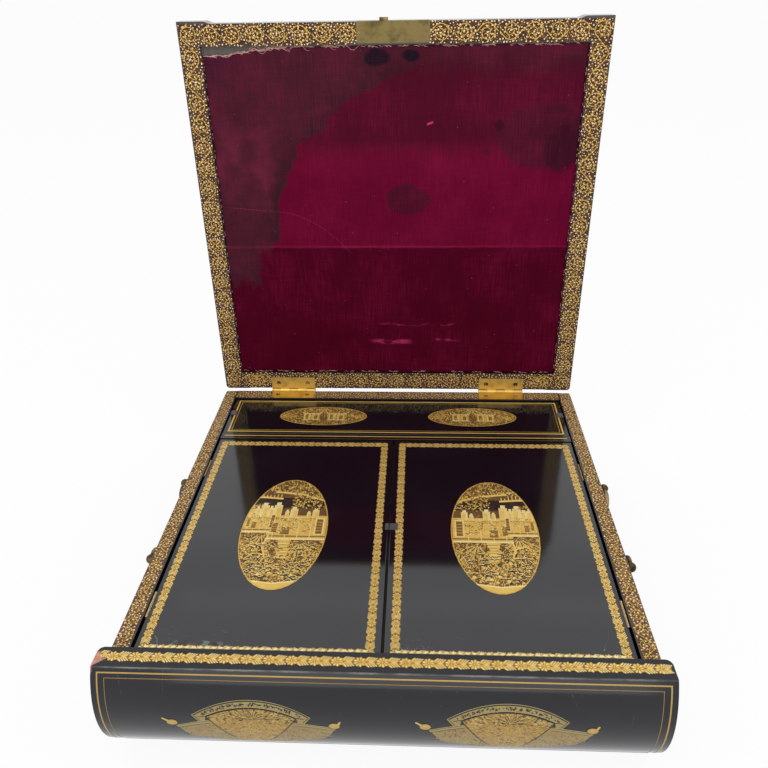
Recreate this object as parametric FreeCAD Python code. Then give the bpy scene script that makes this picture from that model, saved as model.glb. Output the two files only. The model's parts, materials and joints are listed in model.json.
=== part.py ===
"""Lacquer writing box with a convex front spine, a velvet-lined lid and two inner flaps.

Units are millimetres and +Z is up. The origin lies on the face that the box rests on,
on the centre line, and +Y points to the back, where the lid is hinged. The lid is drawn
closed and then turned to the open position, which is the position at rest.
"""
import FreeCAD, Part
import math
import os

from FreeCAD import Vector

os.makedirs("parts", exist_ok=True)

# Case
case_width = 330.0
case_depth = 322.5            # back face to the spine's face behind the closed lid
rim_height = 70.0             # resting face to the rims of the sides and the back
origin_to_back = 160.0
side_thickness = 11.5
back_thickness = 12.9
bottom_thickness = 7.0
case_corner_radius = 3.0
rim_edge_radius = 0.6
overcut = 1.0                 # how far a cutting shape runs out past the surface

# Front spine
shelf_width = 4.0             # shelf at rim height that the lid's front rail closes on
spine_top_width = 14.0
spine_bulge = 9.8             # how far the round front stands out past its top arris
spine_widest_drop = 32.0      # closed lid's top to the spine's widest line
spine_foot_height = 6.0       # upright foot under the round front
spine_arris_radius = 0.8
spine_corner_radius = 4.0

# Lid
lid_thickness = 13.6
lid_gap = 0.4                 # between the rims and the closed lid
lid_back_inset = 0.3          # of the closed lid from the back face
lid_front_gap = 1.4           # between the lid's front corners and the spine
lid_rim_side = 16.2
lid_rim_front = 17.6
lid_rim_back = 17.6
lid_recess = 2.4
velvet_thickness = 1.2
velvet_gap = 0.3
ear_width = 20.0              # unrelieved length at each corner of the lid
ear_sweep = 6.0               # length of the curve from the corner into the relief
ear_bend = 0.15               # share of the relief reached a quarter of the way along that curve
front_relief = 1.6
back_relief = 0.5
lid_corner_radius = 3.0

# Lid hinges
hinge_from_side = 65.5        # side of the case to the middle of a hinge
hinge_length = 42.0
leaf_thickness = 1.2
leaf_width = 12.4             # from the back edge of the wood to the leaf's inner edge
knuckle_radius = 1.9
hinge_pin_radius = 0.8
pin_clearance = 0.05
knuckle_count = 5
knuckle_gap = 0.15
hinge_axis_out = 1.6          # behind the back face
stop_width = 1.6              # of the bars behind the knuckles that meet when the lid is open
stop_height = 1.7
stop_gap = 0.06
screw_spacing = 28.0
screw_head_radius = 2.1
screw_head_depth = 1.1
screw_shank_radius = 0.9
screw_length = 7.5
screw_slot = 0.6
screw_point_length = 1.0

# Lock
lock_width = 55.5
lock_depth = 15.0             # of the plate, back from the lid's relieved front edge
lock_plate_thickness = 1.2
selvedge_height = 8.0         # of the plate's turned edge on the front of the lid
lock_case_width = 46.0
lock_case_height = 7.4
lock_case_wall = 0.8
lock_edge_gap = 2.0           # from the case to the plate's back edge
bolt_offset = -7.0
bolt_width = 6.6
bolt_thickness = 3.4
bolt_projection = 2.4
bolt_length = 11.0
bolt_throw = 3.4
bolt_running_gap = 0.25
bolt_notch_radius = 1.0       # notch that the key's bit pushes
bolt_notch_from_tail = 3.0
keyhole_offset = 3.5
key_post_radius = 1.0
keyhole_radius = 2.2
keyhole_wall_gap = 0.8        # from the key's hole to the case's back wall
keyhole_slot_width = 1.6
keyhole_slot_length = 6.0
lock_pin_radius = 0.7
lock_pin_inset = 2.0
lock_pin_length = 7.0
spring_thickness = 0.5
spring_rise = 0.9
spring_end_gap = 0.3          # from the spring to the bolt's slot

# Divider, flaps and their carriers
pen_tray_depth = 58.9         # back board to divider
divider_thickness = 8.1
divider_drop = 1.8            # below the rims
cover_drop = 2.0
cover_thickness = 4.0
cover_gap = 0.5
cover_edge_radius = 0.6
seat_gap = 0.2                # between a cover or flap and what carries it
flap_drop = 2.5
flap_thickness = 5.0
flap_end_gap = 0.6
flap_side_gap = 1.3
flap_centre_gap = 1.6
flap_edge_radius = 0.8
ledge_width = 5.0
ledge_height = 6.0
partition_thickness = 6.0
well_width = 58.0             # of the ink well at each end of the pen tray
well_partition_thickness = 4.0
end_ledge_width = 5.0

# Flap hinges
flap_hinge_length = 22.0
flap_hinge_spacing = 150.0
flap_knuckle_radius = 1.1
flap_pin_radius = 0.45
flap_leaf_thickness = 0.7
flap_leaf_height = 3.8
flap_leaf_offset = 0.4        # from the pin's axis to the near face of a leaf
flap_barrel_gap = 0.15        # round the knuckles, to the wood and to the leaves
flap_knuckle_count = 3
flap_mortise_gap = 0.1

# Silk tabs
silk_thickness = 0.5
right_tab_length = 5.8        # on the flap, from its free edge
left_tab_length = 2.2         # of the left flap's tab, which is torn short
flap_tab_width = 7.5
flap_tab_from_back = 113.0    # flap's back edge to the tab's centre
cover_tab_length = 6.3
cover_tab_width = 8.0
cover_tab_from_back = 24.0    # back edge of the tray's cover to the tab's centre
tab_overhang = 0.6

# Handles
handle_spacing = 89.0
handle_from_back = 179.5      # back face to the middle of the handle
handle_height = 60.5
post_ball_radius = 3.5
post_reach = 4.7              # side of the case to the ball's centre
post_neck_radius = 1.9
post_collar_radius = 3.6
post_collar_thickness = 1.2
post_tang_radius = 1.5
post_tang_length = 7.0
bail_radius = 2.1
bail_grip_radius = 3.2
swelling_root = 0.7           # of the wire's radius, where a swelling runs out inside it
bail_pivot_radius = 1.0
bail_pivot_depth = 3.0
bail_pivot_end_gap = 0.3
bail_pivot_clearance = 0.08
bail_ball_gap = 0.4
bail_neck_run = 3.0
bail_bend_radius = 6.0
bail_drop = 8.0               # straight length between the two bends of a shoulder
bail_bead_radius = 3.1
bail_bead_length = 3.0
bail_bead_gap = 1.8           # bead's middle to the end of the long swelling

# Places that follow from the sizes above
half_width = case_width / 2
back_y = origin_to_back
spine_back_y = back_y - case_depth
shelf_y = spine_back_y + shelf_width
side_inner_x = half_width - side_thickness
back_inner_y = back_y - back_thickness
divider_back_y = back_inner_y - pen_tray_depth
divider_front_y = divider_back_y - divider_thickness
lid_under_z = rim_height + lid_gap
lid_top_z = lid_under_z + lid_thickness
arris_y = spine_back_y - spine_top_width
lid_back_y = back_y - lid_back_inset
lid_front_y = spine_back_y + lid_front_gap
lid_relieved_y = lid_front_y + front_relief
axis_y = back_y + hinge_axis_out
axis_z = rim_height + lid_gap / 2
hinge_x = half_width - hinge_from_side
flap_top_z = rim_height - flap_drop
flap_under_z = flap_top_z - flap_thickness
flap_edge_x = side_inner_x - flap_side_gap
flap_back_y = divider_front_y - flap_end_gap
flap_front_y = shelf_y + flap_end_gap
flap_seat_z = flap_under_z - seat_gap
flap_axis_x = flap_edge_x + flap_leaf_offset
flap_hinge_middle_y = (flap_back_y + flap_front_y) / 2
cover_top_z = rim_height - cover_drop
cover_under_z = cover_top_z - cover_thickness
cover_back_y = back_inner_y - cover_gap
cover_front_y = divider_back_y + cover_gap
cover_edge_x = side_inner_x - cover_gap
cover_seat_z = cover_under_z - seat_gap
handle_y = back_y - handle_from_back
bail_x = half_width + post_reach


def box(x0, x1, y0, y1, z0, z1):
    """A block between two corners."""
    return Part.makeBox(x1 - x0, y1 - y0, z1 - z0, Vector(x0, y0, z0))


def rod(radius, start, end):
    """A round bar from one point to another."""
    run = end - start
    return Part.makeCylinder(radius, run.Length, start, run)


def fuse(shapes):
    """One solid from shapes that meet."""
    whole = shapes[0]
    for other in shapes[1:]:
        whole = whole.fuse(other)
    return whole.removeSplitter()


def edges_along(shape, direction, test):
    """The straight edges in one direction whose middle passes the test."""
    found = []
    for edge in shape.Edges:
        if not isinstance(edge.Curve, Part.Line):
            continue
        if edge.tangentAt(edge.FirstParameter).cross(direction).Length < 1e-6 and test(edge.CenterOfMass):
            found.append(edge)
    return found


def turned(points, start, direction):
    """A solid of revolution from (distance along the axis, radius) pairs."""
    wire = Part.makePolygon([Vector(r, 0, a) for a, r in points + [points[0]]])
    solid = Part.Face(wire).revolve(Vector(), Vector(0, 0, 1), 360)
    solid.Placement = FreeCAD.Placement(start, FreeCAD.Rotation(Vector(0, 0, 1), direction))
    return solid


def open_lid(shape):
    """Turn what is drawn on the closed lid to the open position."""
    turned_shape = shape.copy()
    turned_shape.rotate(Vector(0, axis_y, axis_z), Vector(1, 0, 0), -90)
    return turned_shape


def save(name, shape):
    """Write one piece, or one group of like pieces, to its file."""
    shape.exportStep("parts/" + name + ".step")


# Case


def bottom_board():
    """The floor of the case, let in between the four walls."""
    return box(-side_inner_x, side_inner_x, shelf_y, back_inner_y, 0, bottom_thickness)


def side_board(side):
    """A side of the case, with its back corner and its rim's edges rounded."""
    inner, outer = sorted((side * side_inner_x, side * half_width))
    board = box(inner, outer, shelf_y, back_y, 0, rim_height)
    corner = edges_along(
        board, Vector(0, 0, 1), lambda c: c.y > back_y - 1 and abs(c.x) > half_width - 1
    )
    board = board.makeFillet(case_corner_radius, corner)
    rim = edges_along(
        board, Vector(0, 1, 0), lambda c: c.z > rim_height - 1 and abs(c.x) > half_width - 1
    )
    board = board.makeFillet(rim_edge_radius, rim)
    for y in flap_hinge_places():
        board = board.cut(side_hinge_mortise(side, y))
    for y in handle_places():
        board = board.cut(
            rod(
                post_tang_radius,
                Vector(side * (half_width - post_tang_length), y, handle_height),
                Vector(side * (half_width + overcut), y, handle_height),
            )
        )
    return board


def side_hinge_mortise(side, y):
    """The recess for a flap hinge's fixed leaf and its knuckles in a side board."""
    half = flap_hinge_length / 2 + flap_mortise_gap
    leaf_back = flap_leaf_back()
    low = flap_top_z - flap_leaf_height - flap_mortise_gap
    a, b = sorted((side * (side_inner_x - overcut), side * leaf_back))
    leaf = box(a, b, y - half, y + half, low, flap_top_z)
    barrel = rod(
        flap_knuckle_radius + flap_barrel_gap,
        Vector(side * flap_axis_x, y - half, flap_top_z),
        Vector(side * flap_axis_x, y + half, flap_top_z),
    )
    return leaf.fuse(barrel)


def back_board():
    """The back of the case between the sides, with beds for the hinges' leaves."""
    board = box(-side_inner_x, side_inner_x, back_inner_y, back_y, 0, rim_height)
    for x in hinge_places():
        board = board.cut(leaf_bed(x, rim_height - leaf_thickness, rim_height + overcut))
        board = board.cut(barrel_clearance(x))
        for screw in screw_places(x):
            board = board.cut(screw_shank(screw, rim_height))
    return board


def leaf_bed(x, low, high):
    """The recess that a lid hinge's leaf lies in, seen from above."""
    half = hinge_length / 2
    return box(x - half, x + half, back_y - leaf_width, back_y + overcut, low, high)


def barrel_clearance(x):
    """Room for the knuckles at the edge of the wood."""
    half = hinge_length / 2
    return rod(
        knuckle_radius + knuckle_gap, Vector(x - half, axis_y, axis_z), Vector(x + half, axis_y, axis_z)
    )


def spine_profile():
    """The spine's section: shelf, flat top and the round front down to its foot."""
    widest_z = lid_top_z - spine_widest_drop
    foot_fall = widest_z - spine_foot_height
    radius = (spine_widest_drop * spine_widest_drop + spine_bulge * spine_bulge) / (2 * spine_bulge)
    centre_y = arris_y - spine_bulge + radius
    foot_y = centre_y - math.sqrt(radius * radius - foot_fall * foot_fall)
    corners = [
        Vector(0, foot_y, spine_foot_height),
        Vector(0, foot_y, 0),
        Vector(0, shelf_y, 0),
        Vector(0, shelf_y, rim_height),
        Vector(0, spine_back_y, rim_height),
        Vector(0, spine_back_y, lid_top_z),
        Vector(0, arris_y, lid_top_z),
    ]
    edges = [Part.LineSegment(a, b).toShape() for a, b in zip(corners, corners[1:])]
    widest = Vector(0, arris_y - spine_bulge, widest_z)
    edges.append(Part.Arc(corners[-1], widest, corners[0]).toShape())
    return Part.Face(Part.Wire(edges))


def front_spine():
    """The convex front, like the spine of a book, from end to end of the case."""
    face = spine_profile()
    face.translate(Vector(-half_width, 0, 0))
    spine = face.extrude(Vector(case_width, 0, 0))
    corners = edges_along(
        spine,
        Vector(0, 0, 1),
        lambda c: c.z > rim_height and abs(c.x) > half_width - 1 and abs(c.y - spine_back_y) < 0.1,
    )
    spine = spine.makeFillet(spine_corner_radius, corners)
    arris = edges_along(
        spine, Vector(1, 0, 0), lambda c: c.z > lid_top_z - 0.1 and abs(c.y - arris_y) < 0.1
    )
    spine = spine.makeFillet(spine_arris_radius, arris)
    return spine.cut(bolt_socket())


def bolt_socket():
    """The hole in the spine that the thrown bolt enters."""
    gap = bolt_running_gap
    z = bolt_middle_z()
    return box(
        bolt_offset - bolt_width / 2 - gap,
        bolt_offset + bolt_width / 2 + gap,
        lid_relieved_y - bolt_projection - bolt_throw - 2 * gap,
        spine_back_y + overcut,
        z - bolt_thickness / 2 - gap,
        z + bolt_thickness / 2 + gap,
    )


def divider_wall():
    """The wall between the pen tray and the two compartments under the flaps."""
    return box(
        -side_inner_x,
        side_inner_x,
        divider_front_y,
        divider_back_y,
        bottom_thickness,
        rim_height - divider_drop,
    )


def centre_partition():
    """The wall under the meeting edges of the two flaps."""
    half = partition_thickness / 2
    return box(-half, half, shelf_y, divider_front_y, bottom_thickness, flap_seat_z)


def flap_ledge(y0, y1, side):
    """A ledge that carries one end of a flap."""
    x0, x1 = sorted((side * partition_thickness / 2, side * side_inner_x))
    return box(x0, x1, y0, y1, flap_seat_z - ledge_height, flap_seat_z)


def front_flap_ledge():
    """The ledges behind the spine, one each side of the partition."""
    return Part.Compound([flap_ledge(shelf_y, shelf_y + ledge_width, s) for s in (-1, 1)])


def back_flap_ledge():
    """The ledges in front of the divider, one each side of the partition."""
    return Part.Compound(
        [flap_ledge(divider_front_y - ledge_width, divider_front_y, s) for s in (-1, 1)]
    )


def well_partition(side):
    """The wall between an ink well and the pen trough, under the tray's cover."""
    inner = side_inner_x - well_width - well_partition_thickness
    x0, x1 = sorted((side * inner, side * (inner + well_partition_thickness)))
    return box(x0, x1, divider_back_y, back_inner_y, bottom_thickness, cover_seat_z)


def tray_end_ledge(side):
    """The ledge on a side board that carries an end of the tray's cover."""
    x0, x1 = sorted((side * (side_inner_x - end_ledge_width), side * side_inner_x))
    return box(x0, x1, divider_back_y, back_inner_y, cover_seat_z - ledge_height, cover_seat_z)


# Lid


def eared_edge(y_ear, y_relief):
    """Edges along a lid's front or back, from the right corner to the left one."""
    ear_x = half_width - ear_width
    run_x = ear_x - ear_sweep
    middle_x = (ear_x + run_x) / 2
    middle_y = (y_ear + y_relief) / 2
    edges = [Part.LineSegment(Vector(half_width, y_ear, 0), Vector(ear_x, y_ear, 0)).toShape()]
    for mirror in (1, -1):
        points = [
            Vector(mirror * ear_x, y_ear, 0),
            Vector(mirror * (ear_x + middle_x) / 2, y_ear * (1 - ear_bend) + y_relief * ear_bend, 0),
            Vector(mirror * middle_x, middle_y, 0),
            Vector(mirror * (run_x + middle_x) / 2, y_ear * ear_bend + y_relief * (1 - ear_bend), 0),
            Vector(mirror * run_x, y_relief, 0),
        ]
        if mirror == 1:
            edges.append(Part.Arc(points[0], points[1], points[2]).toShape())
            edges.append(Part.Arc(points[2], points[3], points[4]).toShape())
            edges.append(
                Part.LineSegment(Vector(run_x, y_relief, 0), Vector(-run_x, y_relief, 0)).toShape()
            )
        else:
            edges.append(Part.Arc(points[4], points[3], points[2]).toShape())
            edges.append(Part.Arc(points[2], points[1], points[0]).toShape())
    edges.append(Part.LineSegment(Vector(-ear_x, y_ear, 0), Vector(-half_width, y_ear, 0)).toShape())
    return edges


def lid_outline():
    """The lid's outline from above, with its front and back edges relieved between ears."""
    front = eared_edge(lid_front_y, lid_relieved_y)
    back = eared_edge(lid_back_y, lid_back_y - back_relief)
    sides = [
        Part.LineSegment(Vector(s * half_width, lid_front_y, 0), Vector(s * half_width, lid_back_y, 0))
        for s in (-1, 1)
    ]
    wire = Part.Wire(Part.__sortEdges__(front + back + [line.toShape() for line in sides]))
    return Part.Face(wire)


def lid_recess_box(inset, low, high):
    """The field inside the lid's rim, made smaller all round by an inset."""
    return box(
        -half_width + lid_rim_side + inset,
        half_width - lid_rim_side - inset,
        lid_front_y + lid_rim_front + inset,
        lid_back_y - lid_rim_back - inset,
        low,
        high,
    )


def lid_board():
    """The lid: one board with a sunk field inside, cut for the lock and the hinges."""
    face = lid_outline()
    face.translate(Vector(0, 0, lid_under_z))
    board = face.extrude(Vector(0, 0, lid_thickness))
    corners = edges_along(
        board, Vector(0, 0, 1), lambda c: abs(c.x) > half_width - 1 and c.y > lid_back_y - 1
    )
    board = board.makeFillet(lid_corner_radius, corners)
    board = board.cut(lid_recess_box(0, lid_under_z - overcut, lid_under_z + lid_recess))
    for x in hinge_places():
        board = board.cut(leaf_bed(x, lid_under_z - overcut, lid_under_z + leaf_thickness))
        board = board.cut(barrel_clearance(x))
        for screw in screw_places(x):
            board = board.cut(screw_shank(screw, lid_under_z, up=True))
    board = board.cut(lock_mortise())
    board = board.cut(lock_pins())
    return board.cut(keyhole(lid_under_z, lid_top_z + overcut))


def velvet_lining():
    """The velvet sheet that lies in the lid's field."""
    floor = lid_under_z + lid_recess
    return lid_recess_box(velvet_gap, floor - velvet_thickness, floor)


# Lock


def bolt_middle_z():
    """Height of the bolt's middle in the closed lid."""
    return lid_under_z + lock_plate_thickness + lock_case_wall + bolt_running_gap + bolt_thickness / 2


def lock_back_y():
    """Back edge of the lock's plate."""
    return lid_relieved_y + lock_depth


def lock_mortise():
    """The cut in the lid's front rail for the plate, its turned edge and the case."""
    half = lock_width / 2
    plate = box(
        -half,
        half,
        lid_relieved_y - overcut,
        lock_back_y(),
        lid_under_z - overcut,
        lid_under_z + lock_plate_thickness,
    )
    selvedge = box(
        -half,
        half,
        lid_relieved_y - overcut,
        lid_relieved_y + lock_plate_thickness,
        lid_under_z - overcut,
        lid_under_z + selvedge_height,
    )
    return fuse([plate, selvedge, lock_case_block(0)])


def lock_case_block(inset):
    """The lock case's block, or its inside when inset by the wall."""
    half = lock_case_width / 2 - inset
    low = lid_under_z + lock_plate_thickness
    return box(
        -half,
        half,
        lid_relieved_y + lock_plate_thickness + inset,
        lock_back_y() - lock_edge_gap - inset,
        low + inset,
        low + lock_case_height - inset,
    )


def keyhole(low, high):
    """The key's way through the lid and the case: a round hole with a slot."""
    y = key_y()
    hole = rod(keyhole_radius, Vector(keyhole_offset, y, low), Vector(keyhole_offset, y, high))
    half = keyhole_slot_width / 2
    slot = box(keyhole_offset - half, keyhole_offset + half, y - keyhole_slot_length, y, low, high)
    return hole.fuse(slot)


def key_y():
    """Middle of the key's hole, from front to back."""
    return lock_back_y() - lock_edge_gap - lock_case_wall - keyhole_radius - keyhole_wall_gap


def lock_plate():
    """The brass plate on the lid's inner face, turned over its front edge."""
    half = lock_width / 2
    flat = box(
        -half, half, lid_relieved_y, lock_back_y(), lid_under_z, lid_under_z + lock_plate_thickness
    )
    edge = box(
        -half,
        half,
        lid_relieved_y,
        lid_relieved_y + lock_plate_thickness,
        lid_under_z,
        lid_under_z + selvedge_height,
    )
    plate = fuse([flat, edge])
    plate = plate.cut(bolt_way(lid_relieved_y - overcut, lid_relieved_y + lock_plate_thickness + overcut))
    for x in lock_pin_places():
        plate = plate.cut(
            rod(
                lock_pin_radius,
                Vector(x, lock_pin_y(), lid_under_z - overcut),
                Vector(x, lock_pin_y(), lid_under_z + lock_plate_thickness + overcut),
            )
        )
    return plate


def lock_pin_places():
    """Where the plate's two pins stand."""
    return [s * (lock_width / 2 - lock_pin_inset) for s in (-1, 1)]


def lock_pin_y():
    """The pins' place between the plate's front and back edges."""
    return lid_relieved_y + lock_depth / 2


def bolt_way(y0, y1):
    """The running slot for the bolt."""
    gap = bolt_running_gap
    z = bolt_middle_z()
    return box(
        bolt_offset - bolt_width / 2 - gap,
        bolt_offset + bolt_width / 2 + gap,
        y0,
        y1,
        z - bolt_thickness / 2 - gap,
        z + bolt_thickness / 2 + gap,
    )


def lock_case():
    """The lock's thin case, with its bolt slot and the key's hole."""
    shell = lock_case_block(0).cut(lock_case_block(lock_case_wall))
    shell = shell.cut(bolt_way(lid_relieved_y, lid_relieved_y + lock_plate_thickness + 2 * lock_case_wall))
    top = lid_under_z + lock_plate_thickness + lock_case_height
    return shell.cut(keyhole(top - lock_case_wall - overcut / 2, top + overcut))


def lock_bolt():
    """The bolt, its nose a little out of the lid's front edge, with the key's notch."""
    z = bolt_middle_z()
    y0 = lid_relieved_y - bolt_projection
    bolt = box(
        bolt_offset - bolt_width / 2,
        bolt_offset + bolt_width / 2,
        y0,
        y0 + bolt_length,
        z - bolt_thickness / 2,
        z + bolt_thickness / 2,
    )
    notch_y = y0 + bolt_length - bolt_notch_from_tail
    notch = rod(
        bolt_notch_radius,
        Vector(bolt_offset + bolt_width / 2, notch_y, z - bolt_thickness),
        Vector(bolt_offset + bolt_width / 2, notch_y, z + bolt_thickness),
    )
    return bolt.cut(notch)


def key_post():
    """The pin in the lock's case that the barrel of the key turns on."""
    low = lid_under_z + lock_plate_thickness + lock_case_wall
    return rod(
        key_post_radius,
        Vector(keyhole_offset, key_y(), low),
        Vector(keyhole_offset, key_y(), low + lock_case_height - lock_case_wall),
    )


def lock_spring():
    """The bowed leaf spring beside the bolt, from wall to wall of the lock's case."""
    x0 = -lock_case_width / 2 + lock_case_wall
    x1 = bolt_offset - bolt_width / 2 - bolt_running_gap - spring_end_gap
    y = lid_relieved_y + lock_plate_thickness + lock_case_wall + spring_thickness
    z0 = bolt_middle_z() - bolt_thickness / 2
    centre = (x0 + x1) / 2
    outer = Part.Arc(
        Vector(x0, y, z0), Vector(centre, y + spring_rise + spring_thickness, z0), Vector(x1, y, z0)
    )
    start, end = Vector(x0, y - spring_thickness, z0), Vector(x1, y - spring_thickness, z0)
    inner = Part.Arc(end, Vector(centre, y + spring_rise, z0), start)
    edges = [
        outer.toShape(),
        Part.LineSegment(Vector(x1, y, z0), end).toShape(),
        inner.toShape(),
        Part.LineSegment(start, Vector(x0, y, z0)).toShape(),
    ]
    return Part.Face(Part.Wire(edges)).extrude(Vector(0, 0, bolt_thickness))


def lock_pins():
    """The two brass pins that hold the lock's plate to the wood, flush with the plate."""
    return Part.Compound(
        [
            rod(
                lock_pin_radius,
                Vector(x, lock_pin_y(), lid_under_z),
                Vector(x, lock_pin_y(), lid_under_z + lock_pin_length),
            )
            for x in lock_pin_places()
        ]
    )


# Lid hinges


def hinge_places():
    """Middles of the two lid hinges along the back."""
    return [-hinge_x, hinge_x]


def knuckle_spans(length, count):
    """Start and end of each knuckle along a hinge, with the gaps between them."""
    pitch = length / count
    half_gap = knuckle_gap / 2
    return [(i * pitch + half_gap, (i + 1) * pitch - half_gap) for i in range(count)]


def screw_places(x):
    """The two screws of one leaf."""
    y = back_y - leaf_width / 2
    return [Vector(x + s * screw_spacing / 2, y, 0) for s in (-1, 1)]


def screw_shank(place, surface, up=False):
    """The hole for one screw, down from a surface or up into the lid."""
    end = surface + (screw_length if up else -screw_length)
    return rod(screw_shank_radius, Vector(place.x, place.y, surface), Vector(place.x, place.y, end))


def screw(place, surface, up=False):
    """One countersunk screw with its head flush with the leaf."""
    sign = 1 if up else -1
    body = turned(
        [
            (0, 0),
            (0, screw_head_radius),
            (screw_head_depth, screw_shank_radius),
            (screw_length - screw_point_length, screw_shank_radius),
            (screw_length, 0),
        ],
        Vector(place.x, place.y, surface),
        Vector(0, 0, sign),
    )
    half = screw_slot / 2
    z0, z1 = sorted((surface - sign, surface + sign * screw_slot))
    reach = screw_head_radius
    slot = box(place.x - half, place.x + half, place.y - reach, place.y + reach, z0, z1)
    return body.cut(slot)


def hinge_leaf(x, on_lid):
    """A leaf of a lid hinge with its knuckles, the bar of its stop and its screw holes."""
    low = lid_under_z if on_lid else rim_height - leaf_thickness
    high = low + leaf_thickness
    left = x - hinge_length / 2
    spans = knuckle_spans(hinge_length, knuckle_count)[(1 if on_lid else 0)::2]
    wood_edge = lid_back_y - back_relief if on_lid else back_y
    clear_edge = axis_y - knuckle_radius - knuckle_gap
    leaf = box(
        left, left + hinge_length, back_y - leaf_width, min(wood_edge, clear_edge), low, high
    )
    parts = [leaf]
    for start, end in spans:
        ends = Vector(left + start, axis_y, axis_z), Vector(left + end, axis_y, axis_z)
        parts.append(rod(knuckle_radius, *ends))
        parts.append(box(left + start, left + end, back_y - leaf_width, axis_y, low, high))
        parts.append(stop_arm(left + start, left + end, on_lid))
    parts.append(stop_bar(left, on_lid))
    whole = fuse(parts)
    whole = whole.cut(
        rod(
            hinge_pin_radius + pin_clearance,
            Vector(left - overcut, axis_y, axis_z),
            Vector(left + hinge_length + overcut, axis_y, axis_z),
        )
    )
    for place in screw_places(x):
        whole = whole.cut(screw_seat(place, low if on_lid else high, on_lid))
    return whole


def stop_bar(left, on_lid):
    """The bar behind the knuckles. The two bars of a hinge meet when the lid stands open."""
    inner = axis_y + knuckle_radius + knuckle_gap
    if on_lid:
        # drawn closed, where the bar stands above the knuckles
        inner_z = axis_z + knuckle_radius + knuckle_gap
        return box(
            left,
            left + hinge_length,
            axis_y - stop_height,
            axis_y - stop_gap,
            inner_z,
            inner_z + stop_width,
        )
    return box(
        left, left + hinge_length, inner, inner + stop_width, axis_z - stop_height, axis_z - stop_gap
    )


def stop_arm(x0, x1, on_lid):
    """What joins a knuckle to its stop bar."""
    reach = knuckle_radius + knuckle_gap + stop_width
    if on_lid:
        return box(x0, x1, axis_y - stop_height, axis_y - stop_gap, axis_z, axis_z + reach)
    return box(x0, x1, axis_y, axis_y + reach, axis_z - stop_height, axis_z - stop_gap)


def screw_seat(place, surface, up):
    """The countersunk hole in a leaf."""
    sign = 1 if up else -1
    return turned(
        [
            (-overcut, 0),
            (-overcut, screw_head_radius),
            (0, screw_head_radius),
            (screw_head_depth, screw_shank_radius),
            (leaf_thickness + overcut, screw_shank_radius),
            (leaf_thickness + overcut, 0),
        ],
        Vector(place.x, place.y, surface),
        Vector(0, 0, sign),
    )


def hinge_pin(x):
    """The pin through the knuckles of one lid hinge."""
    half = hinge_length / 2
    return rod(hinge_pin_radius, Vector(x - half, axis_y, axis_z), Vector(x + half, axis_y, axis_z))


def hinge_screws(on_lid):
    """The four screws of the two leaves on one side of the hinges."""
    surface = lid_under_z if on_lid else rim_height
    places = [place for x in hinge_places() for place in screw_places(x)]
    return Part.Compound([screw(place, surface, on_lid) for place in places])


# Flaps and tray cover


def flap_hinge_places():
    """Middles of the two hinges of a flap."""
    return [flap_hinge_middle_y + s * flap_hinge_spacing / 2 for s in (-1, 1)]


def flap_leaf_back():
    """Distance from the centre line to the wood behind a fixed leaf."""
    return flap_axis_x + flap_leaf_offset + flap_leaf_thickness + flap_mortise_gap


def flap(side):
    """A flap: a thin board, bedded for its two hinges at its outer edge."""
    x0, x1 = sorted((side * flap_centre_gap / 2, side * flap_edge_x))
    board = box(x0, x1, flap_front_y, flap_back_y, flap_under_z, flap_top_z)
    free_edge = edges_along(
        board, Vector(0, 1, 0), lambda c: c.z > flap_top_z - 0.1 and abs(c.x) < flap_centre_gap
    )
    board = board.makeFillet(flap_edge_radius, free_edge)
    for y in flap_hinge_places():
        half = flap_hinge_length / 2 + flap_mortise_gap
        inner = flap_axis_x - flap_leaf_offset - flap_leaf_thickness - flap_mortise_gap
        a, b = sorted((side * inner, side * (flap_edge_x + overcut)))
        low = flap_top_z - flap_leaf_height - flap_mortise_gap
        board = board.cut(box(a, b, y - half, y + half, low, flap_top_z + overcut))
        board = board.cut(
            rod(
                flap_knuckle_radius + flap_barrel_gap,
                Vector(side * flap_axis_x, y - half, flap_top_z),
                Vector(side * flap_axis_x, y + half, flap_top_z),
            )
        )
    return board


def flap_hinge_leaf(side, y, moving):
    """A leaf of a flap hinge: upright at the flap's edge, with its knuckles on top."""
    left = y - flap_hinge_length / 2
    offset = -flap_leaf_offset if moving else flap_leaf_offset
    near = flap_axis_x + offset
    far = near + math.copysign(flap_leaf_thickness, offset)
    a, b = sorted((side * near, side * far))
    low = flap_top_z - flap_leaf_height
    top = flap_top_z - flap_knuckle_radius - flap_barrel_gap
    parts = [box(a, b, left, left + flap_hinge_length, low, top)]
    for start, end in knuckle_spans(flap_hinge_length, flap_knuckle_count)[(0 if moving else 1)::2]:
        parts.append(
            rod(
                flap_knuckle_radius,
                Vector(side * flap_axis_x, left + start, flap_top_z),
                Vector(side * flap_axis_x, left + end, flap_top_z),
            )
        )
        parts.append(box(a, b, left + start, left + end, low, flap_top_z))
    leaf = fuse(parts)
    return leaf.cut(
        rod(
            flap_pin_radius + pin_clearance,
            Vector(side * flap_axis_x, left - overcut, flap_top_z),
            Vector(side * flap_axis_x, left + flap_hinge_length + overcut, flap_top_z),
        )
    )


def flap_hinge_pin(side, y):
    """The pin of one flap hinge."""
    half = flap_hinge_length / 2
    return rod(
        flap_pin_radius,
        Vector(side * flap_axis_x, y - half, flap_top_z),
        Vector(side * flap_axis_x, y + half, flap_top_z),
    )


def flap_tab(side, length):
    """The silk tab at a flap's free edge, hanging a little over the gap between the flaps."""
    y = flap_back_y - flap_tab_from_back
    half = flap_tab_width / 2
    edge = flap_centre_gap / 2
    x0, x1 = sorted((side * (edge - tab_overhang), side * (edge + length)))
    return box(x0, x1, y - half, y + half, flap_top_z, flap_top_z + silk_thickness)


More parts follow.
